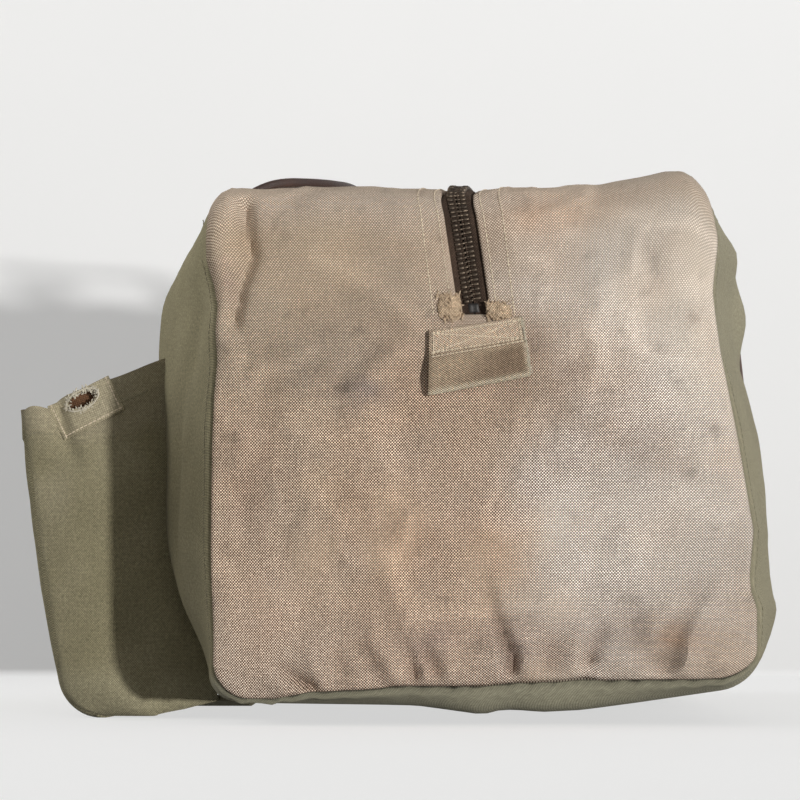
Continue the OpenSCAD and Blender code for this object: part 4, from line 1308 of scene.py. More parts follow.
ends_sewn = facing_stitches("facing_stitches", FACING, np.linspace(s_of_z(FACING_FOOT), ARC, 70),
                            np.linspace(s_of_y(YOKE_Y + 0.5), s_far(FACING_FOOT), 110))
place(ends_sewn, "bag", "thread")
for side_name, sign in SIDES:
    for end_name, (y0, y1, _, _) in LIP_ENDS.items():
        ss = np.linspace(s_of_y(y0) + 0.8, s_of_y(y1) - 0.8, 60)
        offsets = [x for x in FACING if x * sign > 0]
        sewn = facing_stitches(side_name + "_lip_stitches_" + end_name, offsets, ss)
        opens(sewn, side_name, end_name, "thread")

# ---- webbing tabs under the zip's ends

# each tab's upper left, upper right, lower left and lower right corners
NEAR_TAB = ((-22.5, 196.8), (24.5, 203.8), (-23.5, 163.8), (29.0, 173.8))
FAR_TAB = ((-25.0, 202.5), (25.0, 203.5), (-24.5, 163.5), (25.5, 164.5))
# the tab's layers from the top edge round the lower fold: height above the fold line, distance off the panel
TAB_FACE = [(15.6, 1.2), (15.9, 2.4), (15.2, 3.3), (12, 3.4), (8, 3.3), (4, 3.4), (1, 3.7), (-2, 4.6),
            (-6, 5.9), (-10, 6.7), (-14, 6.8), (-18, 6.4), (-21, 5.7), (-23, 4.9), (-24.2, 3.7), (-24.5, 2.4),
            (-23.8, 1.5), (-22, 1.2), (-16, 1.3), (-8, 1.2), (0, 0.9), (8, 0.8), (15, 0.8)]
TAB_HALF, TAB_TOP, TAB_TALL = 25.0, 15.9, 40.4
# runs along the layers from the top edge: past the sewn half, and past the lower fold
TAB_SEWN, TAB_FOLD = 30, 46


def tab_point(a, up, off, far):
    """A place on a tab: a across it, up from its fold line, off the end panel."""
    corners = np.array(FAR_TAB if far else NEAR_TAB)
    t, w = (TAB_TOP - up) / TAB_TALL, (a / TAB_HALF + 1) / 2
    x, z = [(c[0] * (1 - w) + c[1] * w) * (1 - t) + (c[2] * (1 - w) + c[3] * w) * t for c in corners.T]
    base = strip(x, s_end(z, far), 0.0)
    base[..., 1] += outward(far) * (off + 0.15 * cloud(a, up, 9, 2, 201))
    return base


def tab(name, far):
    """One folded length of webbing: sewn half, free loop and the layers behind."""
    face = np.array(TAB_FACE)
    run = run_along(face)
    fine = np.linspace(0, run[-1], 92)
    ups, offs = [np.interp(fine, run, face[:, i]) for i in (0, 1)]
    A, U = np.meshgrid(np.linspace(-TAB_HALF, TAB_HALF, 41), ups)
    R = np.broadcast_to(fine[:, None], A.shape)
    wide = 1 - 0.02 * smooth(4, -24, U)
    edge = TAB_HALF - np.abs(A)
    outer, sewn = R < TAB_FOLD, R < TAB_SEWN
    off = offs[:, None] - 0.35 * (1 - smooth(0, 1.6, edge))
    off = off + 0.55 * np.sin(A / 9.0 + 1.0) * smooth(0, -20, U) * (R < 42)
    points = tab_point(A * wide, U, off, far)
    tint = shaded(plain_tint((164, 144, 119), A.shape), 1 + 0.12 * cloud(A, R, 16, 3, 211))
    for rgb, share in (
            ((116, 97, 78), 0.85 * smooth(-16, 22, A - 0.6 * U) * smooth(0, -6, U) * outer),
            ((186, 165, 141), 0.9 * smooth(-1, 3, U + 1.5 * cloud(A, R, 8, 2, 213)) * sewn),
            ((204, 190, 164), 0.85 * bell(U, -23.5, 2.2) * outer),
            ((196, 180, 154), 0.7 * bell(edge, 0, 1.6) * (A > 0)),
            ((112, 94, 76), 0.45 * bell(U, 0.0, 2.0) * sewn),
            # painted shadow along the left edge, where the loop stands off the panel
            ((120, 102, 82), 0.5 * bell(edge, 0, 2.2) * (A < 0))):
        tint = blend_to(tint, rgb, share)
    return cloth(name, points, np.stack([A, R], -1), tint, WEBBING, 1.0, flip=not far)


def tab_rows(far):
    """The sewn box and its cross on a tab's upper half."""
    low, high, wide = 1.6, 13.6, TAB_HALF - 2.2
    runs = [((-wide, high), (wide, high)), ((-wide, low), (wide, low)), ((-wide, low), (-wide, high)),
            ((wide, low), (wide, high)), ((-wide, low), (wide, high)), ((-wide, high), (wide, low)),
            ((-wide, low - 2.4), (wide, low - 2.0))]
    lines = []
    for start, stop in runs:
        a, up = between(start, stop, 24)
        lines.append(tab_point(a, up, np.interp(up, [-2, 1, 4, 16], [4.6, 3.7, 3.4, 3.4]) + 0.3, far))
    return lines, [(0, outward(far), 0)] * len(lines)


def lifts(obj, tab_name, y, slot, *nodes):
    """A piece of a tab, its placing baked into its mesh, with the solids that it stands for hidden."""
    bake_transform(obj)
    if nodes:
        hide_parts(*nodes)


for end_name, far in ENDS:
    tab_name, y = end_name + "_tab", 0.265 * outward(far)
    lifts(tab(tab_name + "_webbing", far), tab_name, y, "webbing", tab_name + "_patch", tab_name + "_loop")
    stitches = row(tab_name + "_stitches", *tab_rows(far), FINE_STITCH, 2.3, CREAM, 0.12)
    lifts(stitches, tab_name, y, "thread")
    # loose threads along the right edge
    A, U = np.meshgrid(np.linspace(TAB_HALF - 0.9, TAB_HALF + 0.1, 3), np.linspace(-23, 15, 24))
    grid = tab_point(A, U, np.interp(U, [-24, -14, 0, 15], [4, 6.6, 3.8, 3.2]), far)
    lifts(fray(tab_name + "_fray", grid, HAIR, 150, PALE, 3), tab_name, y, "thread")

# ---- frayed canvas at the zip's lower ends


def tuft_grid(x, z, wide, tall, count):
    """Places over a tuft, and their distance from its middle, 1 at its edge."""
    X, Z = np.meshgrid(np.linspace(x - wide, x + wide, count), np.linspace(z - tall, z + tall, count))
    return X, Z, np.hypot((X - x) / wide, (Z - z) / tall)


def tuft(name, place_at, half_size, count, far, seed):
    """Loose strands, and the matted cloth under them."""
    X, Z, d = tuft_grid(*place_at, *half_size, 9)
    grid = strip(X, s_end(Z, far), 0.6 + 3.0 * np.maximum(0, 1 - d))
    place(fray(name, grid, STRAND, count, TUFT, seed), "bag", "thread")
    X, Z, d = tuft_grid(*place_at, *half_size, 33)
    d = d * (1 + 0.22 * cloud(X, Z, 4.0, 2, seed))
    lump = 3.4 * np.sqrt(np.maximum(0, 1 - d ** 2)) * (0.75 + 0.4 * np.abs(cloud(X, Z, 2.6, 2, seed + 3)))
    points = strip(X, s_end(Z, far), lump - 0.6 * (d > 1))
    tint = shaded(plain_tint((196, 173, 145), X.shape), 1 + 0.25 * cloud(X, Z, 2.2, 2, seed + 5))
    mat = cloth(name + "_mat", points, np.stack([X, Z], -1), tint, FRAY, 0, flip=far)
    place(mat, "bag", "thread")


tuft("near_left_tuft", (-12.0, 209.0), (6.0, 7.0), 85, False, 5)
tuft("near_right_tuft", (12.5, 206.5), (6.5, 5.0), 75, False, 7)
tuft("far_left_tuft", (-13.0, 207.0), (6.0, 5.0), 70, True, 9)
tuft("far_right_tuft", (12.0, 208.0), (6.0, 5.0), 70, True, 11)

# ---- open pocket on the left side: front and floor in one piece, two ends, eyelets

POCKET_KNEE = POCKET_FOOT + POCKET_R * (1 - math.sin(POCKET_LEAN))


def pocket_front_at(z):
    """How far out the pocket's front stands at each height."""
    z = np.asarray(z, float)
    under = POCKET_FOOT + POCKET_R - np.minimum(z, POCKET_KNEE)
    low = POCKET_O + np.sqrt(np.maximum(0, POCKET_R ** 2 - under ** 2))
    high = POCKET_O + POCKET_R * math.cos(POCKET_LEAN) + (z - POCKET_KNEE) * math.tan(POCKET_LEAN)
    return np.where(z < POCKET_KNEE, low, high) + 1.5 * np.sin(math.pi * np.clip((z - 20) / 143, 0, 1))


def bag_side_at(y, z):
    """How far out the settled left side stands at each height."""
    heights = np.linspace(0, 240, 81)
    line = side(np.full(81, float(y)), heights, -1)
    return np.interp(z, line[:, 2], -line[:, 0])


def pocket_rim(g):
    """Height of an end's rim from the bag (0) to the front (1), with the sunk fold beside the corner."""
    rim = POCKET_BACK + (POCKET_RIM - POCKET_BACK) * g
    rim = rim + 2.0 * (1 - smooth(0, 0.35, g)) - 2.2 * smooth(0.5, 0.9, g)
    return rim - 2.6 * bell(g, 0.80, 0.05) + 1.5 * bell(g, 0.93, 0.06)


def pocket_foot(g):
    """Height of an end's foot from the bag to the front."""
    return np.interp(g, [0, 0.25, 0.55, 1], [9, 4.5, 1.0, 0.9])


def pocket_span(z, far):
    """Where an end of the pocket starts at the bag, and stops at the front, at each height."""
    return bag_side_at(outward(far) * POCKET_Y, z) - 0.5, pocket_front_at(z) + 0.8


# folds of an end, out from the bag and up; folds of the front, along the bag and down from the rim
POCKET_END_FOLDS = [
    ([(218, 168), (213, 148), (203, 128)], 4.5, -5.0),
    ([(230, 164), (227, 148), (222, 130)], 7, 3.4),
    ([(165, 20), (176, 48), (190, 70)], 9, -3.0),
    ([(205, 14), (196, 40), (192, 66)], 8, 2.2),
]
POCKET_FRONT_FOLDS = [
    ([(-150, 2), (-128, 40), (-90, 82)], 12, -3.2),
    ([(150, 4), (120, 50), (96, 100)], 13, -3.2),
    ([(-30, 0), (-20, 30), (-26, 66)], 12, 2.4),
]
# the hem's raised band ends between these distances below the rim; its row of stitches; its thickness
HEM_LOW, HEM_HIGH, HEM_ROW, HEM = 17.5, 15.5, 14.2, 0.9


def pocket_end(g, f, far, h=0.0):
    """A place on an end of the pocket: g from the bag to the front, f from the foot to the rim."""
    g, f = np.broadcast_arrays(np.asarray(g, float), np.asarray(f, float))
    foot = pocket_foot(g)
    z = foot + (pocket_rim(g) - foot) * f
    inner, outer = pocket_span(z, far)
    o = inner + (outer - inner) * g
    # swelling, soft folds, and the edge that turns to the front's seam
    lift = 7.0 * (1 - np.abs(2 * g - 1) ** 2.6) * (1 - np.abs(2 * f - 1) ** 3.5)
    calm = smooth(0, 0.12, g) * smooth(1, 0.85, g) * smooth(0, 0.15, f)
    lift = lift + 2.2 * cloud(o, z, 46, 2, 221 + far) * calm + 0.5 * cloud(o, z, 13, 2, 225 + far)
    lift = lift + creases(o, z, POCKET_END_FOLDS) + 9.0 * bell(g, 0.6, 0.3) * bell(z, 16, 20)
    lift = lift - edge_curl(outer - o, 5.0) - 0.5 * edge_curl(np.maximum(0, z - foot), 4.0)
    return np.stack([-o, outward(far) * (POCKET_Y + lift + h), z], -1)


# the eyelet's place on an end, its tilt, and the half length and half width of its hole
EYE_G, EYE_F, EYE_TILT = 0.566, 0.965, math.radians(27)
HOLE_A, HOLE_B = 9.0, 4.3


def eyelet_turned(a, b):
    """Turns a pair of distances by the eyelet's tilt."""
    return a * math.cos(EYE_TILT) - b * math.sin(EYE_TILT), a * math.sin(EYE_TILT) + b * math.cos(EYE_TILT)


def eyelet_middle(far):
    return pocket_end(np.array([EYE_G]), np.array([EYE_F]), far)[0]


def pocket_olive(a, z):
    """Pocket canvas: washed lighter at the rim and in patches, with painted light making the foot paler."""
    colour = olive_tint(a, z, 131, (138, 131, 104), (160, 152, 127), (114, 107, 83))
    # painted light: the foot is paler
    colour = blend_to(colour, (158, 151, 124), 0.75 * smooth(30, 12, z + 5 * cloud(a, z, 26, 2, 133)))
    return blend_to(colour, (160, 150, 128), 0.5 * smooth(146, 160, z + 6 * cloud(a, z, 20, 2, 135)))


def pocket_end_piece(name, far):
    g = np.concatenate([np.linspace(0, 0.9, 60), np.linspace(0.9, 1, 17)[1:]])
    f = np.concatenate([np.linspace(0, 0.06, 8), np.linspace(0.06, 0.94, 64)[1:],
                        np.linspace(0.94, 1, 10)[1:]])
    G, F = np.meshgrid(g, f)
    below_rim = pocket_rim(G) - pocket_end(G, F, far)[..., 2]
    points = pocket_end(G, F, far, HEM * smooth(HEM_LOW, HEM_HIGH, below_rim))
    x, z = points[..., 0], points[..., 2]
    middle = eyelet_middle(far)
    a, b = eyelet_turned(-(x - middle[0]), z - middle[2])
    hole = (a / HOLE_A) ** 2 + (b / HOLE_B) ** 2 < 1
    keep = ~(hole[:-1, :-1] | hole[1:, :-1] | hole[:-1, 1:] | hole[1:, 1:])
    # painted shade along the front edge, where the end turns into its seam
    tint = shaded(pocket_olive(x, z), 1 - 0.35 * bell(G, 1.0, 0.02))
    return cloth(name, points, np.stack([x, z], -1), tint, OLIVE, keep=keep, flip=not far)


def pocket_front_path():
    """The front's section from the rim down, round the foot and in along the floor: out, up."""
    zs = np.concatenate([np.linspace(POCKET_RIM, POCKET_KNEE, 60),
                         np.linspace(POCKET_KNEE, POCKET_FOOT, 20)[1:]])
    down = np.stack([pocket_front_at(zs), zs], -1)
    return np.concatenate([down, [[150.0, POCKET_FOOT], [124.0, POCKET_FOOT]]])


FRONT_PATH = pocket_front_path()
FRONT_RUN = run_along(FRONT_PATH)
FRONT_EDGE = POCKET_Y - 1.5


def pocket_front(drop, y, h=0.0):
    """A place on the front: drop is the run down from the rim, on round the foot and in along the floor."""
    drop, y = np.broadcast_arrays(np.asarray(drop, float), np.asarray(y, float))
    o, z = [np.interp(drop, FRONT_RUN, FRONT_PATH[:, i]) for i in (0, 1)]
    share = np.abs(y) / POCKET_Y
    swell = 7.0 * (1 - share ** 2.5) * np.sin(math.pi * np.clip((z - 1.5) / 161.5, 0, 1))
    calm = smooth(1, 0.9, share) * smooth(4, 40, z) * (1 - 0.6 * smooth(130, 160, z))
    swell = swell + 2.6 * cloud(y, drop, 70, 2, 231) * calm + 0.5 * cloud(y, drop, 20, 2, 235)
    swell = swell + creases(y, drop, POCKET_FRONT_FOLDS)
    curl = edge_curl(np.maximum(0, FRONT_EDGE - np.abs(y)), 4.0) * (z > POCKET_FOOT + 0.4)
    upright = smooth(POCKET_FOOT, POCKET_FOOT + 18, z)
    o = o + (swell + h) * upright - curl
    # the rim sags in its middle, the floor is lifted towards the near end
    z = z - 3.5 * (1 - share ** 2) * smooth(150, 163, z) - h * (1 - upright)
    z = z + 10.0 * np.clip((20 - y) / 185, 0, 1) * smooth(198, 150, o) * (1 - smooth(2, 30, z))
    return np.stack([-o, y, np.maximum(z, 0.6)], -1)


def pocket_front_piece():
    edge = np.array([0, 0.5, 1.2, 2.2, 3.4, 5.0])
    ys = np.concatenate([edge - FRONT_EDGE, np.linspace(-POCKET_Y + 9, POCKET_Y - 9, 84),
                         (FRONT_EDGE - edge)[::-1]])
    drops = np.concatenate([np.linspace(0, 20, 14), np.linspace(20, FRONT_RUN[-1], 86)[1:]])
    Y, D = np.meshgrid(ys, drops)
    points = pocket_front(D, Y, HEM * smooth(HEM_LOW, HEM_HIGH, D))
    # painted shade along both ends, where the front turns into its seams
    tint = shaded(pocket_olive(Y, points[..., 2]), 1 - 0.3 * bell(np.abs(Y), POCKET_Y, 4))
    return cloth("pocket_front_canvas", points, np.stack([Y, D], -1), tint, OLIVE, flip=True)


place(pocket_front_piece(), "bag", "olive_canvas", "pocket_front")
for end_name, far in ENDS:
    piece = pocket_end_piece("pocket_" + end_name + "_canvas", far)
    place(piece, "bag", "olive_canvas", "pocket_" + end_name + "_end")


def on_pocket_end(a, b, far, h):
    """A place near an eyelet: a along its length towards the bag, b across it, h off the hem."""
    middle = eyelet_middle(far)
    toward, up = eyelet_turned(a, b)
    o, z = -middle[0] - toward, middle[2] + up
    inner, outer = pocket_span(z, far)
    g = (o - inner) / (outer - inner)
    foot = pocket_foot(g)
    return pocket_end(g, (z - foot) / (pocket_rim(g) - foot), far, HEM + h)


# the patch round an eyelet: half length, lowest and highest edge; its three rows of stitches
PATCH_HALF, PATCH_LOW, PATCH_HIGH = 18.0, -15.0, 5.6
PATCH_SEWN = [(-16.3, 4.5), (-16.3, -13.3), (16.3, -13.3), (16.3, 4.5)]

for end_name, far in ENDS:
    # reinforcing patch sewn over the rim
    A, B = np.meshgrid(np.linspace(-PATCH_HALF, PATCH_HALF, 45), np.linspace(PATCH_LOW, PATCH_HIGH, 29))
    keep = ((A / 8.6) ** 2 + (B / 4.2) ** 2 > 1)[:-1, :-1]
    edge = np.minimum(PATCH_HALF - np.abs(A), np.minimum(B - PATCH_LOW, PATCH_HIGH - B))
    points = on_pocket_end(A, B, far, 1.0 - edge_curl(edge, 0.9))
    tint = olive_tint(A, B, 141, (172, 162, 137), (184, 174, 151), (154, 145, 118))
    uv = np.stack([A, B], -1)
    patch = cloth(end_name + "_eyelet_canvas", points, uv, tint, OLIVE, 0.9, keep=keep, flip=far)
    place(patch, "bag", "olive_canvas", end_name + "_eyelet_patch")
    lines = [on_pocket_end(*between(*ends, 18), far, 1.15) for ends in zip(PATCH_SEWN[:-1], PATCH_SEWN[1:])]
    out = (0, outward(far), 0)
    sewn = row(end_name + "_patch_stitches", lines, [out] * len(lines), FINE_STITCH, 2.4, CREAM, 0.15)
    place(sewn, "bag", "thread")
    # buttonhole thread and fray round the hole
    t = np.linspace(0, 2 * math.pi, 61)
    ring = on_pocket_end(9.4 * np.cos(t), 5.0 * np.sin(t), far, 1.3)
    rim = row(end_name + "_eyelet_thread", [ring], [out], SATIN, 1.1, PALE, 0.25, 5)
    place(rim, "bag", "thread", end_name + "_eyelet_rim")
    T, W = np.meshgrid(t, np.linspace(0, 1, 4))
    band = on_pocket_end((7.8 + 2.4 * W) * np.cos(T), (3.5 + 2.4 * W) * np.sin(T), far,
                         1.2 * np.sin(math.pi * W))
    place(fray(end_name + "_eyelet_fray", band, STRAND, 120, PALE, 15), "bag", "thread")
    # brown lining behind the hole
    A, B = np.meshgrid(np.linspace(-13, 13, 15), np.linspace(-9, 4, 9))
    points = on_pocket_end(A, B, far, -4.4 + 0.4 * cloud(A, B, 6, 2, 147))
    tint = shaded(plain_tint((112, 82, 60), A.shape), 1 + 0.25 * cloud(A, B, 6, 2, 145))
    lining = cloth(end_name + "_eyelet_lining", points, np.stack([A, B], -1), tint, TAPE, 0.8, flip=far)
    place(lining, "bag", "olive_canvas")


def pocket_rows():
    """Sewing along the pocket's hem and corner seams."""
    y = np.linspace(-POCKET_Y + 3, POCKET_Y - 3, 120)
    lines, ups = [pocket_front(np.full(len(y), HEM_ROW), y, 1.0)], [(-1, 0, 0.2)]
    drop = np.linspace(2, 150, 70)
    for sign in (-1, 1):
        lines.append(pocket_front(drop, np.full(len(drop), sign * (POCKET_Y - 6.5)), 0.15))
        ups.append((-1, 0, 0))
    g = np.linspace(0.02, 0.97, 60)
    f = 1 - HEM_ROW / (pocket_rim(g) - pocket_foot(g))
    for _, far in ENDS:
        lines.append(pocket_end(g, f, far, 1.0))
        ups.append((0, outward(far), 0))
    return lines, ups


place(row("pocket_stitches", *pocket_rows(), FINE_STITCH, 2.8, GREEN, 0.12), "bag", "thread")

# ---- leather chapes that hold the rings


def chape_profile():
    """Height and distance off the side, from the foot of a chape up over its ring."""
    c, r = 5.0, BARREL - 0.9
    rise = [(z, 3.0 + 0.4 * smooth(200, 206, z)) for z in np.linspace(CHAPE_FOOT, 207, 22)]
    turn = [(RING_LOW + r * math.sin(a), c + r * math.cos(a)) for a in np.radians(np.linspace(-52, 222, 22))]
    return np.array(rise + turn)


def chape_base(a, z, y0, sign):
    """Where a chape lies: on the cloth low down, at its ring's own distance higher up."""
    base = side(y0 + a, z, sign)
    pinned = np.stack([sign * side_x(RING_Y, RING_LOW, side_curve(sign)) + 0 * a, y0 + a, z], -1)
    return base, pinned


# a chape's half width and the round of its foot
CHAPE_HALF, CHAPE_TIP_R = 17.0, 7.0
# heights between which a chape leaves the cloth for its ring
CHAPE_FREE = (196, 208)


def chape(y0, sign):
    """A leather chape: its points, its flat coordinates and its tint."""
    path = chape_profile()
    run = run_along(path)
    fine = np.linspace(0, run[-1], 66)
    z, off = [np.interp(fine, run, path[:, i]) for i in (0, 1)]
    tip = CHAPE_TIP_R - np.sqrt(np.maximum(0, CHAPE_TIP_R ** 2 - np.maximum(0, CHAPE_TIP_R - fine) ** 2))
    half_w = (CHAPE_HALF - 2.0 * smooth(204, 212, z) - tip)[:, None]
    A = np.linspace(-1, 1, 23)[None, :] * half_w
    Z, R = [np.broadcast_to(v[:, None], A.shape) for v in (z, fine)]
    edge = np.minimum(half_w - np.abs(A), R)
    base, pinned = chape_base(A, np.minimum(Z, RING_LOW), y0, sign)
    held = smooth(*CHAPE_FREE, Z)[..., None]
    points = base * (1 - held) + pinned * held
    points[..., 0] += sign * (off[:, None] - edge_curl(np.maximum(0, edge), 1.3))
    points[..., 2] = np.where(Z > 205, Z, points[..., 2])
    return points, np.stack([A, R], -1), leather_tint(A, R, edge, 301 + int(y0))


def joined(name, pieces, slot, body, *nodes):
    """Several finished meshes as one piece."""
    b = bmesh.new()
    for obj in pieces:
        b.from_mesh(obj.data)
    whole = pieces[0]
    b.to_mesh(whole.data)
    b.free()
    for obj in pieces[1:]:
        bpy.data.objects.remove(obj)
    whole.name = name
    return place(finish_mesh(whole), body, slot, *nodes)


# each chape's rows of stitches: three edges, the upper edge, and a diagonal
CHAPE_SEWN = [[(-13.6, 200), (-13.6, 162), (13.6, 162), (13.6, 200)], [(-13.6, 201), (13.6, 201)],
              [(-13.6, 162), (13.6, 201)]]


def chape_rows(y0, sign):
    """Lines of stitches on a chape."""
    lines = []
    for path in CHAPE_SEWN:
        for ends in zip(path[:-1], path[1:]):
            a, z = between(*ends, 20)
            line, pinned = chape_base(a, z, y0, sign)
            held = smooth(*CHAPE_FREE, z)
            line[:, 0] = line[:, 0] * (1 - held) + pinned[:, 0] * held + sign * 3.15
            lines.append(line)
    return lines


for side_name, sign in SIDES:
    straps = [cloth("chape_piece", *chape(y0, sign), LEATHER, 2.2, flip=sign > 0) for y0 in (-LEG_Y, LEG_Y)]
    joined(side_name + "_chape_leather", straps, "leather", "bag", side_name + "_chapes")
    lines = [line for y0 in (-LEG_Y, LEG_Y) for line in chape_rows(y0, sign)]
    ups = [(sign, 0, 0)] * len(lines)
    sewn = row(side_name + "_chape_stitches", lines, ups, FINE_STITCH, 2.8, BROWN, 0.1)
    place(sewn, "bag", "thread")

# ---- leather handles


def strap_profile(v, lie):
    """A strap's lie above its pin, before it drops inward: across, up and slope at each length v."""
    v = np.asarray(v, float)
    rise, bend, rest = lie
    a = RISE_A - np.clip((v - rise) / bend, 0, RISE_A - rest)
    low, flat = np.minimum(v, rise), np.maximum(0, v - rise - bend * (RISE_A - rest))
    x = low * math.cos(RISE_A) + bend * (math.sin(RISE_A) - np.sin(a)) + flat * math.cos(rest)
    z = low * math.sin(RISE_A) + bend * (np.cos(a) - math.cos(RISE_A)) + flat * math.sin(rest)
    return x, z, a


def strap_place(u, v, s, hand):
    """A place on a handle: u along the bag, v up the strap from its pin, s off its middle layer."""
    sign, pin, lie, flop = HANDLES[hand]
    x, z, a = strap_profile(v, lie)
    x, z = x - s * np.sin(a), z + s * np.cos(a)
    x, z = x * math.cos(flop) + z * math.sin(flop), -x * math.sin(flop) + z * math.cos(flop)
    return np.stack([sign * (pin - x), u + 0 * x, RING_HIGH + z], -1)


# the legs start and stop here, measured up the strap, and a half circle joins them
LEG_START, BOW_V = 2.0, 38.0
# half widths of a strap and of its turn round a bar, and where its stitches lie
STRAP_HALF, TURN_HALF, SEWN_IN = 15.0, 14.8, 11.6


def bow(count):
    """The strap's middle line from ring to ring: its run, (u, v) and the direction across it."""
    leg, bend = BOW_V - LEG_START, math.pi * LEG_Y
    d = np.linspace(0, 2 * leg + bend, count)
    a = np.clip((d - leg) / LEG_Y, 0, math.pi)
    u = -LEG_Y * np.cos(a)
    v = np.where(d > leg + bend, BOW_V - (d - leg - bend), BOW_V + LEG_Y * np.sin(a))
    v = np.where(d < leg, LEG_START + d, v)
    return d, u, v, -np.cos(a), np.sin(a)


def closed(grid):
    """A grid with its first column once more at the end."""
    return np.concatenate([grid, grid[:, :1]], 1)


def handle(hand):
    """A padded strap, crowned on top with rounded edges, whose ends turn round the rings."""
    sign, pin = HANDLES[hand][:2]
    d, u, v, du, dv = bow(150)
    w = np.concatenate([np.linspace(-14.2, 14.2, 17), [14.8, 15.0, 14.8],
                        np.linspace(14.2, -14.2, 13), [-14.8, -15.0, -14.8]])
    s = np.concatenate([1.9 + 0.6 * (1 - np.linspace(-1, 1, 17) ** 2), [1.4, 0, -1.4],
                        np.full(13, -2.3), [-1.4, 0, 1.4]])
    W, D = np.meshgrid(w, d)
    S = s + 0.16 * cloud(D, W, 12, 2, 311) - 0.35 * bell(np.abs(W), SEWN_IN, 0.8) * (s > 1)
    points = closed(strap_place(u[:, None] + du[:, None] * W, v[:, None] + dv[:, None] * W, S, hand))
    W, D = closed(W), closed(D)
    around = np.broadcast_to(run_along(np.stack([W[0], np.append(s, s[0])], -1)), W.shape)
    tint = leather_tint(D, W, STRAP_HALF - np.abs(W), 321 + sign)
    # painted highlight on the middle of the grip
    tint = blend_to(tint, (104, 74, 66), 0.5 * bell(D, d[-1] / 2, 55) * bell(W, 0, 10))
    parts = [cloth("handle_piece", points, np.stack([D, around], -1), tint, LEATHER, 0, flip=sign < 0)]
    # each end turns round the ring's bar
    A, T = np.meshgrid(np.linspace(-TURN_HALF, TURN_HALF, 15), np.radians(np.linspace(-180, 180, 37)))
    edge = TURN_HALF - np.abs(A)
    r = BARREL - 0.7 - edge_curl(edge, 0.9)
    tint = leather_tint(A, T * BARREL, edge, 331)
    for y0 in (-LEG_Y, LEG_Y):
        points = np.stack([sign * (pin + r * np.cos(T)), y0 + A, RING_HIGH + r * np.sin(T)], -1)
        uv = np.stack([A, T * BARREL], -1)
        parts.append(cloth("turn_piece", points, uv, tint, LEATHER, 1.3, flip=sign < 0))
    return joined(hand + "_handle_leather", parts, "leather", hand + "_handle", hand + "_handle")


def handle_rows(hand):
    """Two rows of stitches on each face of a handle."""
    d, u, v, du, dv = bow(220)
    lines, ups = [], []
    for w, s in ((-SEWN_IN, 2.0), (SEWN_IN, 2.0), (-SEWN_IN, -2.42), (SEWN_IN, -2.42)):
        line, above = [strap_place(u + du * w, v + dv * w, np.full(len(d), at), hand)
                       for at in (s, s + math.copysign(1, s))]
        lines.append(line[4:-4])
        ups.append((above - line)[4:-4])
    return lines, ups


for hand in HANDLES:
    handle(hand)
    sewn = row(hand + "_handle_stitches", *handle_rows(hand), STITCH, 3.4, BROWN, 0.08)
    place(sewn, hand + "_handle", "thread")

# ---- sewing along the wrap's seams


def wrap_rows():
    """A row beside each upright seam and one under each upper edge."""
    z = np.linspace(30, 236, 90)
    along = np.linspace(-FLAT_Y, FLAT_Y, 180)
    lines, ups = [], []
    for _, sign in SIDES:
        for _, far in ENDS:
            lines.append(side(np.full(len(z), outward(far) * (END_Y - 8.0)), z, sign, 0.1))
            ups.append((sign, 0, 0))
        lines.append(side(along, np.full(len(along), TOP_Z - 8.5), sign, 0.1))
        ups.append((sign, 0, 0.15))
    return lines, ups


place(row("wrap_stitches", *wrap_rows(), FINE_STITCH, 3.0, GREEN, 0.12), "bag", "thread")

# ---- metal that keeps its own solid: rings, sliders and pulls

KEPT = {"left_rings": RING, "right_rings": RING, "slider_front": TEETH, "slider_rear": TEETH,
        "pull_front": TEETH, "pull_rear": TEETH}
for node, finish in KEPT.items():
    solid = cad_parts[node]
    if not solid.material_slots:
        solid.data.materials.append(finish)
    for slot in solid.material_slots:
        slot.material = finish

# ---- camera, light, floor

EYE = Vector((-0.015, -1.962, 0.070))
YAW, PITCH = math.radians(0.67), math.radians(3.11)
LENS, SENSOR = 153.0, 36.0


def aimed(direction):
    """The turn of a camera or a lamp that points along a direction."""
    return direction.to_track_quat("-Z", "Y").to_euler()


camera = bpy.data.objects.new("camera", bpy.data.cameras.new("camera"))
bpy.context.scene.collection.objects.link(camera)
camera.data.lens, camera.data.sensor_width = LENS, SENSOR
camera.data.clip_start, camera.data.clip_end = 0.05, 30.0
camera.location = EYE
camera.rotation_euler = aimed(Vector((-math.sin(YAW) * math.cos(PITCH), math.cos(YAW) * math.cos(PITCH),
                                      math.sin(PITCH))))
bpy.context.scene.camera = camera
bpy.context.scene.view_settings.view_transform = "Standard"


def lamp(name, stands, aim, size, power, colour):
    light = bpy.data.lights.new(name, "AREA")
    light.shape, light.size, light.energy, light.color = "DISK", size, power, colour
    obj = bpy.data.objects.new(name, light)
    bpy.context.scene.collection.objects.link(obj)
    obj.location = stands
    obj.rotation_euler = aimed(Vector(aim) - Vector(stands))


# the key lamp stands low and far off, turned to the right of the camera
KEY_TURN, KEY_FAR = math.radians(33), 8.0
key_stands = (math.sin(KEY_TURN) * KEY_FAR, -0.2 - math.cos(KEY_TURN) * KEY_FAR, 0.03)
lamp("key lamp", key_stands, (0, -0.1, 0.10), 0.40, 690.0, (1.0, 0.994, 0.984))
lamp("left fill", (-2.8, 0.3, 1.3), (-0.15, -0.05, 0.15), 1.2, 29.0, (1.0, 0.99, 0.97))

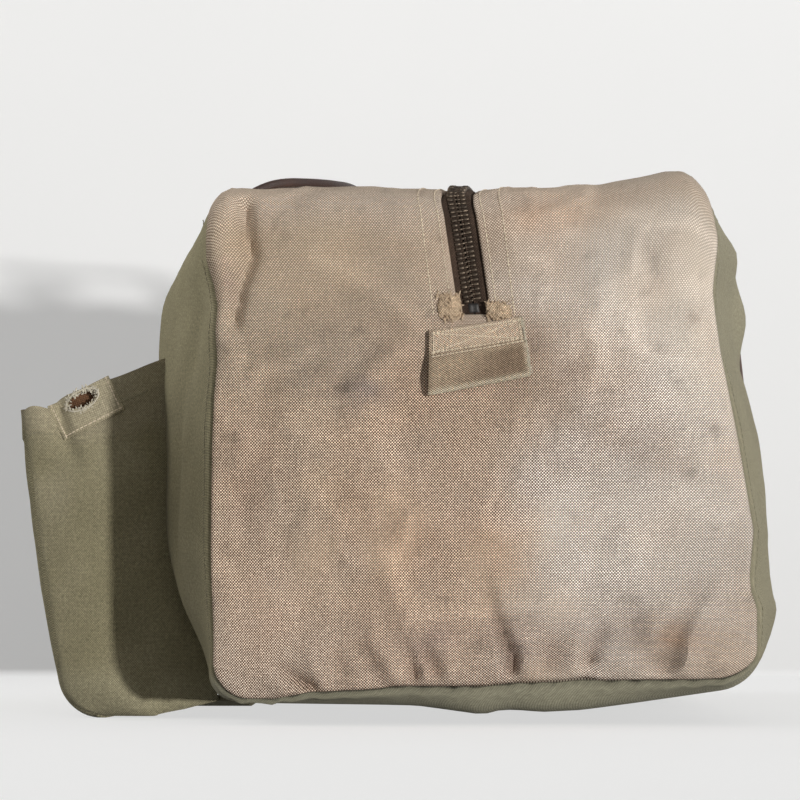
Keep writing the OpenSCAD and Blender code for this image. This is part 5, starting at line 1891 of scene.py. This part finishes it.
world = bpy.data.worlds.new("studio")
world.use_nodes = True
bpy.context.scene.world = world
wt = world.node_tree
sky = wt.nodes["Background"]
sky.inputs["Color"].default_value = (1.0, 0.995, 0.985, 1)
sky.inputs["Strength"].default_value = 0.33
seen = wt.nodes.new("ShaderNodeBackground")
seen.inputs["Color"].default_value = (0.84, 0.845, 0.84, 1)
path = wt.nodes.new("ShaderNodeLightPath")
pick = wt.nodes.new("ShaderNodeMixShader")
wt.links.new(path.outputs["Is Camera Ray"], pick.inputs[0])
wt.links.new(sky.outputs[0], pick.inputs[1])
wt.links.new(seen.outputs[0], pick.inputs[2])
wt.links.new(pick.outputs[0], wt.nodes["World Output"].inputs["Surface"])


def pale_stage(name, wall, floor):
    """A pale matt ground that takes the bag's shadow; only the camera and reflections see its own light.

    wall and floor each give the ground's colour and its light.
    """
    f = Finish(name)
    facing = f.node("ShaderNodeNewGeometry")
    level = f.math("ABSOLUTE", f.node("ShaderNodeSeparateXYZ", {0: facing.outputs["Normal"]}).outputs[2])
    shown, glow = [f.remap(level, 0, 1, upright, flat) for upright, flat in zip(wall, floor)]
    mottle = f.remap(f.noise(f.object_place(), 3.0, 2.0), 0.3, 0.7, 0.985, 1.015)
    f.set(base_color=f.tone((1, 1, 0.995), f.math("MULTIPLY", shown, mottle)), roughness=0.95)
    f.shader.inputs["Specular IOR Level"].default_value = 0.1
    rays = f.node("ShaderNodeLightPath").outputs
    seen_by = f.math("MAXIMUM", rays["Is Camera Ray"], rays["Is Glossy Ray"])
    seen_by = f.math("MAXIMUM", seen_by, rays["Is Transmission Ray"])
    strength = f.math("MULTIPLY", seen_by, glow)
    light = f.node("ShaderNodeEmission", {"Color": (1, 1, 0.995, 1), "Strength": strength})
    front = f.node("ShaderNodeAddShader", {0: f.shader.outputs[0], 1: light.outputs[0]}).outputs[0]
    # one-sided, so that the far end can be seen from behind it
    clear = f.node("ShaderNodeBsdfTransparent").outputs[0]
    ground = f.node("ShaderNodeMixShader", {0: facing.outputs["Backfacing"], 1: front, 2: clear}).outputs[0]
    f.give(f.tree.nodes["Material Output"].inputs["Surface"], ground)
    return f.mat


# the backdrop: its distance and bend, then how far it reaches to the front and the sides, and up
WALL_Y, WALL_R, REACH, WALL_TALL = 640.0, 6.0, 6000, 3000


def stage_sheet(name, profile, wide, finish):
    verts = [(x, y, z) for y, z in profile for x in (-wide, wide)]
    faces = [(2 * i, 2 * i + 1, 2 * i + 3, 2 * i + 2) for i in range(len(profile) - 1)]
    obj = mesh_object(name, verts, faces, [finish])
    shade_smooth(obj.data)


bend = [(WALL_Y - WALL_R + WALL_R * math.sin(a), WALL_R - WALL_R * math.cos(a))
        for a in np.radians(np.linspace(0, 90, 13))]
stage_sheet("backdrop", [(-REACH, 0)] + bend + [(WALL_Y, WALL_TALL)], REACH,
            pale_stage("pale backdrop", (0.64, 0.265), (0.30, 0.63)))

for unit in UNITS:
    bpy.data.objects.remove(unit)
